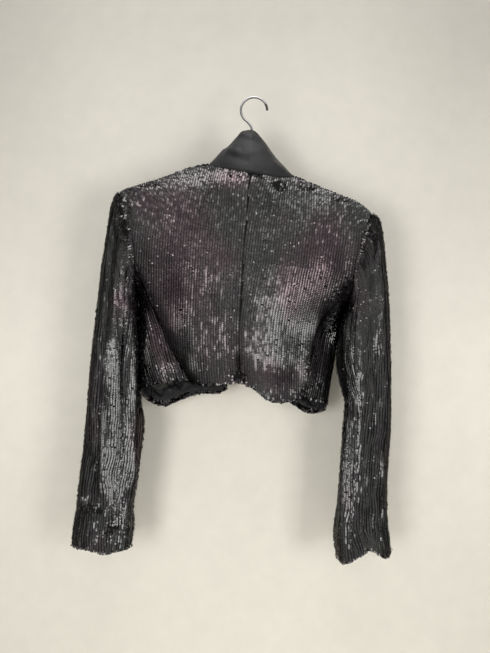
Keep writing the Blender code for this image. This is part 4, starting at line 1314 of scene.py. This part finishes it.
def neck_edge(side, place):
    """Points of the collar's seam: up to 1 on the back's neck seam, past it down the front edge."""
    return share(side["neck_seam"], place) if place <= 1 else along(side["front_edge"], place - 1)


def collar_grid(columns, rows):
    """The collar from its free edge down to its seam, with so many columns between two rows of its table."""
    known = [row[0] for row in COLLAR]
    ends = list(zip(known, known[1:]))
    places = np.concatenate([np.linspace(a, b, columns, endpoint=False) for a, b in ends] + [known[-1:]])
    seam = np.array([neck_edge(LEFT if place < 0 else RIGHT, abs(place)) for place in places])
    free = along([row[1:] for row in COLLAR], np.interp(places, known, range(len(known))))
    up = np.linspace(1, 0, rows)[:, None, None]
    grid = (1 - up) * seam + up * free
    near_back = 1 - smoothstep(*COLLAR_BACK, np.abs(places))
    grid[..., 1] -= COLLAR_BULGE * np.sin(math.pi * up[..., 0]) * near_back
    return grid + np.array([0, 0, COLLAR_LIFT])


def single_normals(grid):
    """Normals of a grid that stands alone."""
    panels = {"one": {"grid": grid, "flip": False}}
    shared_normals(panels)
    return panels["one"]["normals"]


def pressed_by(grid, normals, creases, depth_factor):
    """A grid with creases pressed in along its normals."""
    return grid - normals * (creases_on(grid, creases) * depth_factor)[..., None]


def laid_on(panel, stations, columns, shares, clear):
    """A grid that lies on a panel between two shares of its width at each station, with its normals."""
    row = np.interp(stations, panel["rows"], np.arange(len(panel["rows"])))[:, None] * np.ones(columns)
    start, stop = (np.broadcast_to(line, len(stations))[:, None] for line in shares)
    u = start + (stop - start) * np.linspace(0, 1, columns)
    column = np.interp(u, panel["u"], np.arange(len(panel["u"])))
    normals = unit(bilinear(panel["normals"], row, column))
    return bilinear(panel["plain"], row, column) + normals * clear, normals


def tube(name, points, radius, materials, tip_rings=0):
    """A round bar or wire along points that lie in one plane across Y, with rounded ends."""
    sides = ROUND_SIDES
    way = unit(np.gradient(points, axis=0))
    ends = np.linspace(0, math.pi / 2, END_RINGS + 1)[:-1]
    lead = [points[0] - way[0] * radius * math.cos(a) for a in ends]
    tail = [points[-1] + way[-1] * radius * math.cos(a) for a in ends[::-1]]
    middle = np.concatenate([lead, points, tail])
    round_end = radius * np.sin(ends)
    radii = np.concatenate([round_end, np.full(len(points), radius), round_end[::-1]])
    ways = np.concatenate([np.tile(way[0], (len(ends), 1)), way, np.tile(way[-1], (len(ends), 1))])
    aside = np.array([0.0, 1.0, 0.0])
    out = np.cross(ways, aside)
    turn = np.linspace(0, 2 * math.pi, sides, endpoint=False)
    rings = middle[:, None] + radii[:, None, None] * (
        np.cos(turn)[None, :, None] * out[:, None] + np.sin(turn)[None, :, None] * aside
    )
    rings = rings[1:-1]
    count = len(rings)
    vertices = np.concatenate([rings.reshape(-1, 3), middle[[0]], middle[[-1]]])
    index = np.arange(count * sides).reshape(count, sides)
    beside = np.roll(index, -1, axis=1)
    faces = np.stack([index[:-1], beside[:-1], beside[1:], index[1:]], axis=-1).reshape(-1, 4).tolist()
    faces += [[int(beside[0, k]), int(index[0, k]), count * sides] for k in range(sides)]
    faces += [[int(index[-1, k]), int(beside[-1, k]), count * sides + 1] for k in range(sides)]
    mesh = bpy.data.meshes.new(name)
    mesh.from_pydata((vertices * MM).tolist(), [], faces)
    for one in materials:
        mesh.materials.append(one)
    first_end = len(faces) - 2 * sides
    for polygon in mesh.polygons:
        at_tip = polygon.index < tip_rings * sides or 0 <= polygon.index - first_end < sides
        polygon.material_index = 1 if tip_rings and at_tip else 0
    mesh.shade_smooth()
    mesh.update()
    return add_object(name, mesh)


def material(name):
    """A material by its short name, made the first time it is asked for."""
    full = "blazer_" + name
    return bpy.data.materials.get(full) or MATERIALS[name](full)


def new_material(name):
    made = bpy.data.materials.new(name)
    made.use_nodes = True
    made.node_tree.nodes.clear()
    return made, Nodes(made.node_tree)


def surface(n, *inputs):
    """A Principled surface joined to the output."""
    n.add("ShaderNodeOutputMaterial", ("Surface", n.made("ShaderNodeBsdfPrincipled", *inputs)))


def rgba(color, brightness=1.0):
    return (*(brightness * c for c in color), 1.0)


def effect(name, inputs, outputs, build):
    """A shared shader node group."""
    tree = bpy.data.node_groups.get(name)
    if tree:
        return tree
    tree = bpy.data.node_groups.new(name, "ShaderNodeTree")
    for label, kind, default in inputs:
        socket(tree, label, kind, default)
    for label, kind in outputs:
        socket(tree, label, kind, role="OUTPUT")
    n = Nodes(tree)
    n.add("NodeGroupOutput", *build(n, n.add("NodeGroupInput").outputs).items())
    return tree


def weave(n, threads=2400.0):
    """Height of threads across each other, from the flat map in metres."""
    def build(n, given):
        scaled = n.scaled(given["Vector"], given["Threads per metre"])
        across, down, _ = n.add("ShaderNodeSeparateXYZ", (0, scaled)).outputs
        warp = n.math("SINE", n.times(across, 2 * math.pi))
        weft = n.math("SINE", n.times(down, 2 * math.pi / SATIN_FLOAT))
        slub = n.texture(scaled, 0.02, 2.0)
        return {"Height": n.plus(n.plus(n.times(warp, 0.5), n.times(weft, 0.2)), slub)}

    tree = effect(
        "Weave", [("Vector", "NodeSocketVector", None), ("Threads per metre", "NodeSocketFloat", threads)],
        [("Height", "NodeSocketFloat")], build,
    )
    flat_map = n.coordinates("UV")
    return n.made("ShaderNodeGroup", ("Vector", flat_map), ("Threads per metre", threads), node_tree=tree)


def patches(n, scale, color, darker):
    """Soft patches of a colour and a darker one, over the object's own coordinates."""
    def build(n, given):
        swells = n.texture(given["Vector"], given["Patch scale"], 3.0, ("Roughness", 0.6))
        spread = n.ramp(swells, (0.38, 0.62))
        return {"Color": n.mixed(spread, given["Color A"], given["Color B"]), "Patches": spread}

    tree = effect(
        "Patches", [
            ("Vector", "NodeSocketVector", None), ("Patch scale", "NodeSocketFloat", scale),
            ("Color A", "NodeSocketColor", rgba(color)), ("Color B", "NodeSocketColor", rgba(color, darker)),
        ],
        [("Color", "NodeSocketColor"), ("Patches", "NodeSocketFloat")], build,
    )
    return n.add(
        "ShaderNodeGroup", ("Vector", n.coordinates()), ("Patch scale", scale), ("Color A", rgba(color)),
        ("Color B", rgba(color, darker)), node_tree=tree,
    ).outputs


def sequin_material(name):
    """Dark glossy film: each disc has its own shade, in neutral and faintly purple patches."""
    looks = bpy.context.scene.blazer_sequins
    made, n = new_material(name)
    purple, shade, tone = (
        n.add("ShaderNodeAttribute", attribute_name=kept).outputs["Fac"]
        for kept in ("purple", "shade", "tone")
    )
    tint = n.mixed(purple, rgba(looks.color), rgba(looks.tint))
    spread = n.ramp(shade, (0.0, 1.0, 1 - looks.shade_spread, 1 + looks.shade_spread))
    factor = n.times(spread, n.ramp(tone, TONES))
    own = n.math("FRACT", n.times(shade, ROUGH_STEPS))
    rough = n.ramp(own, (0.0, 1.0, looks.roughness - ROUGH_SPREAD, looks.roughness + ROUGH_SPREAD))
    surface(
        n, ("Base Color", n.scaled(tint, factor)), ("Roughness", rough), ("Metallic", looks.metallic),
        ("Specular Tint", rgba(FILM_EDGE)),
    )
    return made


def ground_material(name):
    """The dark knitted ground under the sequins."""
    made, n = new_material(name)
    color = patches(n, 60.0, bpy.context.scene.blazer_cloth.ground_color, 0.7)["Color"]
    surface(
        n, ("Base Color", color), ("Roughness", 0.85), ("Normal", n.bump(weave(n, 1100.0), 0.5, 0.0004)),
        ("Sheen Weight", 0.04), ("Sheen Roughness", 0.5), ("Specular IOR Level", 0.12),
    )
    return made


def satin(name, color, roughness, wrinkle, gloss):
    """Satin: fine floats, a soft sheen and small crush marks."""
    made, n = new_material(name)
    sheen = bpy.context.scene.blazer_satin.sheen
    base = patches(n, 35.0, color, 0.82)
    crush = n.texture(n.coordinates(), 48.0, 3.0, ("Roughness", 0.5), ("Distortion", 0.6))
    bump = n.bump(crush, wrinkle, 0.004, ("Normal", n.bump(weave(n), 0.25, 0.0001)))
    rough = n.ramp(base["Patches"], (0.0, 1.0, roughness, roughness + SATIN_SPREAD))
    surface(
        n, ("Base Color", base["Color"]), ("Roughness", rough), ("Normal", bump), ("Sheen Weight", sheen),
        ("Sheen Roughness", 0.35), ("Anisotropic", 0.3), ("Specular IOR Level", gloss),
    )
    return made


def satin_material(name):
    looks = bpy.context.scene.blazer_satin
    return satin(name, looks.color, looks.roughness, 0.22, 0.38)


def lining_material(name):
    looks = bpy.context.scene.blazer_satin
    return satin(name, looks.lining_color, looks.roughness - LINING_GLOSSIER, 0.8, 0.7)


def chrome_material(name):
    made, n = new_material(name)
    rough = n.ramp(n.texture(n.coordinates(), 300.0, 2.0), (0.0, 1.0, 0.12, 0.3))
    color = rgba(bpy.context.scene.blazer_hanger.wire_color)
    surface(n, ("Base Color", color), ("Metallic", 1.0), ("Roughness", rough))
    return made


def plastic(name, color):
    made, n = new_material(name)
    grain = n.texture(n.coordinates(), 900.0, 2.0)
    rough = n.ramp(grain, (0.0, 1.0, 0.42, 0.58))
    surface(n, ("Base Color", rgba(color)), ("Roughness", rough), ("Normal", n.bump(grain, 0.1, 0.0002)))
    return made


def bar_material(name):
    return plastic(name, bpy.context.scene.blazer_hanger.bar_color)


def tip_material(name):
    return plastic(name, bpy.context.scene.blazer_hanger.tip_color)


def wall_material(name):
    """Pale plaster, clear from behind so that views from there show the blazer. Its colour holds painted
    shade at the top and foot, and a painted pool of light round its middle.
    """
    made, n = new_material(name)
    place = n.coordinates()
    aside, _, height = n.add("ShaderNodeSeparateXYZ", (0, place)).outputs
    # Painted light and shade: a painted pool of light round the middle x, and painted shade at the top and
    # the foot
    off_middle = n.math("ABSOLUTE", n.plus(aside, -WALL_PAINTED_LIGHT_MIDDLE))
    peak = n.ramp(height, WALL_PAINTED_LIGHT_PEAK)
    middle = n.ramp(off_middle, (*WALL_PAINTED_LIGHT_ASIDE, peak, 1.0), interpolation_type="SMOOTHSTEP")
    painted_light = n.times(n.times(n.ramp(height, WALL_PAINTED_SHADE), n.ramp(height, WALL_PAINTED_FOOT_SHADE)), middle)
    mottled_painted_light = n.times(painted_light, n.ramp(n.texture(place, 38.0, 4.0), WALL_MOTTLE))
    color = patches(n, 2.2, bpy.context.scene.blazer_stage.wall_color, 0.97)["Color"]
    plaster = n.made(
        "ShaderNodeBsdfPrincipled", ("Base Color", n.scaled(color, mottled_painted_light)), ("Roughness", 0.9),
        ("Normal", n.bump(n.texture(place, 140.0, 3.0), 0.05, 0.001)), ("Specular IOR Level", 0.1),
    )
    behind = n.add("ShaderNodeNewGeometry").outputs["Backfacing"]
    mixed = n.made("ShaderNodeMixShader", (0, behind), (1, plaster), (2, n.made("ShaderNodeBsdfTransparent")))
    n.add("ShaderNodeOutputMaterial", ("Surface", mixed))
    return made


MATERIALS = {
    "sequins": sequin_material, "ground": ground_material, "satin": satin_material, "lining": lining_material,
    "chrome": chrome_material, "bar": bar_material, "tip": tip_material, "wall": wall_material,
}


def stands_for(piece, node):
    """The piece rides on the body, and the solid it stands for is hidden."""
    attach(piece, BODY)
    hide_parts(node)


def sequinned(node, panel, seed):
    """One panel: its cloth, which stands for the solid, and its sequins."""
    scene = bpy.context.scene
    inner = panel["grid"] - panel["normals"] * (scene.blazer_cloth.thickness / MM)
    finishes = [material("ground"), material("lining")]
    cloth = shell("cloth_" + node, panel["grid"], inner, panel["flip"], finishes, panel["free"])
    stands_for(cloth, node)
    sequins = sew_sequins("sequins_" + node, panel, scene.blazer_sequins, seed)
    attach(sequins, BODY)


def satin_piece(node, outer, inner, flip, slot):
    """A thin satin shell, which stands for its solid."""
    piece = shell(node + "_satin", outer, inner, flip, [material(slot)], ALL_EDGES)
    stands_for(piece, node)


def make_panels(panels, seed):
    """Presses the panels' cloth and makes their pieces. Fronts are kept for what lies on them."""
    looks = bpy.context.scene.blazer_sequins
    press(panels, bpy.context.scene.blazer_cloth)
    for number, (node, panel) in enumerate(panels.items()):
        kind = node.rsplit("_", 1)[0]
        panel.update(KINDS[kind], kind=kind)
        panel["guide"] = GUIDES.get(node, panel["guide"])
        panel["margins"] = dict.fromkeys(ALL_EDGES, looks.seam_margin / MM)
        panel["margins"].update(dict.fromkeys(panel["free"], looks.edge_margin / MM))
        if kind == "front":
            stations, _, covered = np.transpose(LAPEL)
            panel["covered"] = (stations, covered + LAPEL_MARGIN)
            FRONTS[node.removeprefix("front_")] = panel
        sequinned(node, panel, seed + number)


def number_property(name, text, default, low=0.0, high=1000.0, **kind):
    return FloatProperty(name=name, description=text, default=default, min=low, max=high, precision=4, **kind)


def length_property(name, text, default, low=0.0):
    return number_property(name, text, default, low, unit="LENGTH", subtype="DISTANCE")


def angle_property(name, text, degrees):
    return number_property(name, text, math.radians(degrees), unit="ROTATION", subtype="ANGLE")


def share_property(name, text, default, low=0.0, high=1.0):
    return number_property(name, text, default, low, high, subtype="FACTOR")


def power_property(name, text, default):
    return number_property(name, text, default, unit="POWER")


def color_property(name, text, default):
    return FloatVectorProperty(
        name=name, description=text, default=default, subtype="COLOR", size=3, min=0, max=1
    )


class BlazerCloth(bpy.types.PropertyGroup):
    thickness: length_property("Thickness", "Thickness of the sequinned cloth with its backing", 0.002)
    crease_depth: number_property("Crease depth", "How deep the soft creases are, as a factor", 1.0, high=3.0)
    unevenness: length_property("Unevenness", "Depth of the small swells of the cloth", 0.0011)
    seam_dip: length_property("Seam dip", "How far seams sink into the cloth", 0.0013)
    ground_color: color_property("Ground colour", "Colour of the cloth under them", (0.010, 0.009, 0.010))


class BlazerSequins(bpy.types.PropertyGroup):
    radius: length_property("Radius", "Radius of a sequin", 0.00205)
    dome: length_property("Dome", "How far the middle of a sequin stands up", 0.00004)
    bend: length_property("Bend", "How far the sides of a sequin bend back", 0.00026)
    stand_off: length_property("Stand-off", "Height of the sequins over the cloth", 0.00045)
    strand_pitch: length_property("Strand pitch", "Distance between strands", 0.0042, 0.002)
    step_pitch: length_property("Step pitch", "Distance between sequins on a strand", 0.0026, 0.002)
    seam_margin: length_property("Seam margin", "Clear cloth along seams", 0.0005)
    edge_margin: length_property("Edge margin", "Clear cloth along free edges", 0.0006)
    lift: angle_property("Lift", "How far sequins tip up from the cloth", 3)
    scatter: angle_property("Scatter", "Random tilt of every sequin", 2)
    run_tilt: angle_property("Run tilt", "Tilt that neighbours on a strand share", 17)
    loose_share: share_property("Loose share", "Share of sequins that hang loose", 0.026)
    loose_tilt: angle_property("Loose tilt", "Further random tilt of a loose one", 32)
    ruffle_tilt: angle_property("Ruffle tilt", "Random tilt where sequins are ruffled", 42)
    size_spread: share_property("Size spread", "Random spread of the size", 0.06, high=0.5)
    stretch: number_property("Stretch", "Length of a sequin by its width", 1.15, high=2.0)
    color: color_property("Colour", "Colour of the film", (0.125, 0.128, 0.125))
    tint: color_property("Tint", "Colour of its faintly purple patches", (0.156, 0.120, 0.131))
    shade_spread: share_property("Shade spread", "How much single sequins differ in shade", 0.16)
    roughness: share_property("Roughness", "Roughness of the film", 0.22, 0.08, 0.9)
    metallic: share_property("Metallic", "How metallic the film looks", 1.0)
    seed: IntProperty(name="Seed", description="Seed of the random tilts", default=4)


class BlazerSatin(bpy.types.PropertyGroup):
    color: color_property("Satin colour", "Colour of the collar and lapels", (0.019, 0.019, 0.020))
    lining_color: color_property("Lining colour", "Colour of the lining", (0.010, 0.010, 0.011))
    roughness: share_property("Roughness", "Roughness of the satin", 0.42)
    sheen: share_property("Sheen", "Soft sheen of the satin", 0.09)


class BlazerHanger(bpy.types.PropertyGroup):
    wire_color: color_property(
        "Wire colour", "Colour of the hook", [WIRE_DULL * c for c in SLOTS["chrome"]["base_color"]]
    )
    bar_color: color_property("Bar colour", "Colour of the bar", SLOTS["plastic"]["base_color"])
    tip_color: color_property("Tip colour", "Colour of the hook's tip", (0.05, 0.05, 0.05))


class BlazerStage(bpy.types.PropertyGroup):
    wall_color: color_property("Wall colour", "Colour of the wall", (0.85, 0.82, 0.74))
    left_power: power_property("Left light", "Power of the light from the left", 13.5)
    right_power: power_property("Right light", "Power of the light from the right", 11.0)
    top_power: power_property("Top light", "Power of the light from above", 6.5)
    room: number_property("Room light", "Strength of the room's soft light", 0.40, high=5.0)


def add_wall():
    """The wall, which bends forwards into a floor."""
    profile = [(WALL_Y, WALL_TOP)]
    for angle in np.linspace(0, math.pi / 2, BEND_STEPS):
        profile.append((
            WALL_Y - FLOOR_BEND * (1 - math.cos(angle)), FLOOR_Z + FLOOR_BEND * (1 - math.sin(angle))
        ))
    profile.append((WALL_Y - FLOOR_REACH, FLOOR_Z))
    vertices = [(x, y, z) for y, z in profile for x in (-WALL_HALF_WIDTH, WALL_HALF_WIDTH)]
    faces = [(2 * i + 2, 2 * i + 3, 2 * i + 1, 2 * i) for i in range(len(profile) - 1)]
    mesh = bpy.data.meshes.new("wall")
    mesh.from_pydata(vertices, [], faces)
    mesh.materials.append(material("wall"))
    mesh.shade_smooth()
    add_object("wall", mesh)


def add_light(name, power, spot, size):
    light = bpy.data.lights.new(name, "AREA")
    light.shape = "RECTANGLE"
    light.size, light.size_y = size
    light.energy = power
    light.color = LIGHT_COLOR
    obj = add_object(name, light)
    obj.location = spot
    obj.visible_glossy = False
    obj.rotation_euler = (Vector(AIM) - Vector(spot)).to_track_quat("-Z", "Y").to_euler()


def add_room(strength):
    """Soft light all round. What sequins reflect is a bright strip of ceiling, dim sides and a dark floor."""
    world = bpy.data.worlds.new("room")
    world.use_nodes = True
    n = Nodes(world.node_tree)
    aside, ahead, up = n.add("ShaderNodeSeparateXYZ", (0, n.coordinates("Generated"))).outputs
    aside = n.math("ABSOLUTE", aside)
    *reach, low, high = ROOM_AHEAD
    all_round = n.ramp(n.math("ABSOLUTE", ahead), (*reach, strength * low, strength * high))
    ceiling = n.plus(n.times(n.ramp(up, ROOM_CEILING), n.ramp(aside, ROOM_STRIP)), 1.0)
    gradient = n.times(n.times(ceiling, n.ramp(up, ROOM_FLOOR)), n.ramp(aside, ROOM_SIDES))
    reflected = n.add("ShaderNodeLightPath").outputs["Is Glossy Ray"]
    seen = n.plus(n.times(n.math("SUBTRACT", gradient, 1.0), reflected), 1.0)
    background = world.node_tree.nodes["Background"]
    background.inputs["Color"].default_value = rgba(ROOM_COLOR)
    n.join(n.times(all_round, seen), background.inputs["Strength"])
    bpy.context.scene.world = world


def add_camera():
    camera = bpy.data.cameras.new("camera")
    camera.lens = LENS
    camera.sensor_width = SENSOR
    eye = add_object("camera", camera)
    eye.location = CAMERA
    eye.rotation_euler = (math.radians(90), 0, 0)
    bpy.context.scene.camera = eye


class BLAZER_OT_body(bpy.types.Operator):
    """Build the backs, sides and fronts of the body, with their sequins"""

    bl_idname = "blazer.body"
    bl_label = "Sequinned body"

    def execute(self, context):
        make_panels(body_panels(), context.scene.blazer_sequins.seed)
        return {"FINISHED"}


class BLAZER_OT_sleeves(bpy.types.Operator):
    """Build both sleeves, with their sequins"""

    bl_idname = "blazer.sleeves"
    bl_label = "Sequinned sleeves"

    def execute(self, context):
        for number, label in enumerate(SIDES):
            seed = context.scene.blazer_sequins.seed + SLEEVE_SEED + SLEEVE_SEED_STEP * number
            make_panels(sleeve_panels(label), seed)
        return {"FINISHED"}


class BLAZER_OT_satin(bpy.types.Operator):
    """Build the satin collar and lapels"""

    bl_idname = "blazer.satin"
    bl_label = "Collar and lapels"

    def execute(self, context):
        grid = collar_grid(COLLAR_COLUMNS, COLLAR_ROWS)
        normals = single_normals(grid)
        grid = pressed_by(grid, normals, COLLAR_CREASES, context.scene.blazer_cloth.crease_depth)
        grid -= normals * (COLLAR_SWELL * unevenness(grid))[..., None]
        satin_piece("collar", grid, grid - single_normals(grid) * COLLAR_WALL, False, "satin")
        known, *edges = np.transpose(LAPEL)
        stations = np.linspace(known[0], known[-1], LAPEL_ROWS)
        shares = [np.interp(stations, known, edge) for edge in edges]
        for label, panel in FRONTS.items():
            low, normals = laid_on(panel, stations, LAPEL_COLUMNS, shares, LAY_GAP)
            high = low + normals * (LAPEL_WALL + LAPEL_SWELL * unevenness(low)[..., None])
            satin_piece(f"lapel_{label}", high, low, panel["flip"], "satin")
        return {"FINISHED"}


class BLAZER_OT_lining(bpy.types.Operator):
    """Build the lining that shows inside the fronts"""

    bl_idname = "blazer.lining"
    bl_label = "Lining"

    def execute(self, context):
        cloth = context.scene.blazer_cloth
        stations = np.linspace(*LINING_STATIONS, LINING_ROWS)
        for label, panel in FRONTS.items():
            clear = -cloth.thickness / MM - LAY_GAP
            flat, normals = laid_on(panel, stations, LINING_COLUMNS, LINING_SHARES, clear)
            outer = pressed_by(flat, normals, LINING_CREASES, cloth.crease_depth)
            outer -= normals * (LINING_SWELL * unevenness(flat))[..., None]
            satin_piece(f"lining_{label}", outer, outer - normals * LINING_WALL, panel["flip"], "lining")
        return {"FINISHED"}


class BLAZER_OT_hanger(bpy.types.Operator):
    """Build the hanger's bar and its wire hook"""

    bl_idname = "blazer.hanger"
    bl_label = "Hanger"

    def execute(self, context):
        x, z = share(BAR, np.linspace(0, 1, BAR_POINTS)).T
        bar = tube("bar_round", np.stack([x, 0 * x, z], axis=-1), BAR_RADIUS, [material("bar")])
        stands_for(bar, "hanger_bar")
        turn = np.radians(np.linspace(*HOOK_ANGLES, HOOK_POINTS))
        crown = WIRE_RADIUS - HOOK_RADIUS
        loop = np.stack([HOOK_RADIUS * np.cos(turn), 0 * turn, crown + HOOK_RADIUS * np.sin(turn)], axis=-1)
        stem = share([(x, 0, z) for x, z in STEM], np.linspace(0, 1, STEM_POINTS))
        finishes = [material("chrome"), material("tip")]
        hook = tube("hook_wire", np.concatenate([loop, stem]), WIRE_RADIUS, finishes, TIP_RINGS)
        stands_for(hook, "hanger_hook")
        return {"FINISHED"}


class BLAZER_OT_stage(bpy.types.Operator):
    """Build the wall behind, the lights and the camera"""

    bl_idname = "blazer.stage"
    bl_label = "Wall, lights and camera"

    def execute(self, context):
        stage = context.scene.blazer_stage
        add_wall()
        add_light("left_light", stage.left_power, LEFT_LIGHT, SIDE_LIGHT_SIZE)
        add_light("right_light", stage.right_power, RIGHT_LIGHT, SIDE_LIGHT_SIZE)
        add_light("top_light", stage.top_power, TOP_LIGHT, TOP_LIGHT_SIZE)
        add_room(stage.room)
        add_camera()
        context.scene.view_settings.view_transform = "Standard"
        return {"FINISHED"}


OPERATORS = (
    BLAZER_OT_body, BLAZER_OT_sleeves, BLAZER_OT_satin, BLAZER_OT_lining, BLAZER_OT_hanger, BLAZER_OT_stage,
)
SETTINGS = {
    "blazer_cloth": BlazerCloth, "blazer_sequins": BlazerSequins, "blazer_satin": BlazerSatin,
    "blazer_hanger": BlazerHanger, "blazer_stage": BlazerStage,
}


class BLAZER_PT_panel(bpy.types.Panel):
    """The blazer's settings and steps"""

    bl_idname = "BLAZER_PT_panel"
    bl_label = "Sequin blazer"
    bl_space_type = "VIEW_3D"
    bl_region_type = "UI"
    bl_category = "Blazer"

    def draw(self, context):
        for name, group_class in SETTINGS.items():
            box = self.layout.box()
            for field in group_class.__annotations__:
                box.prop(getattr(context.scene, name), field)
        for operator in OPERATORS:
            self.layout.operator(operator.bl_idname)


def register():
    for one in (*SETTINGS.values(), *OPERATORS, BLAZER_PT_panel):
        bpy.utils.register_class(one)
    for name, group_class in SETTINGS.items():
        setattr(bpy.types.Scene, name, PointerProperty(type=group_class))


def unregister():
    for name in SETTINGS:
        delattr(bpy.types.Scene, name)
    for one in (BLAZER_PT_panel, *reversed(OPERATORS), *reversed(SETTINGS.values())):
        bpy.utils.unregister_class(one)


def main():
    register()
    bpy.ops.blazer.body()
    bpy.ops.blazer.sleeves()
    bpy.ops.blazer.satin()
    bpy.ops.blazer.lining()
    bpy.ops.blazer.hanger()
    bpy.ops.blazer.stage()


if __name__ == "__main__":
    main()
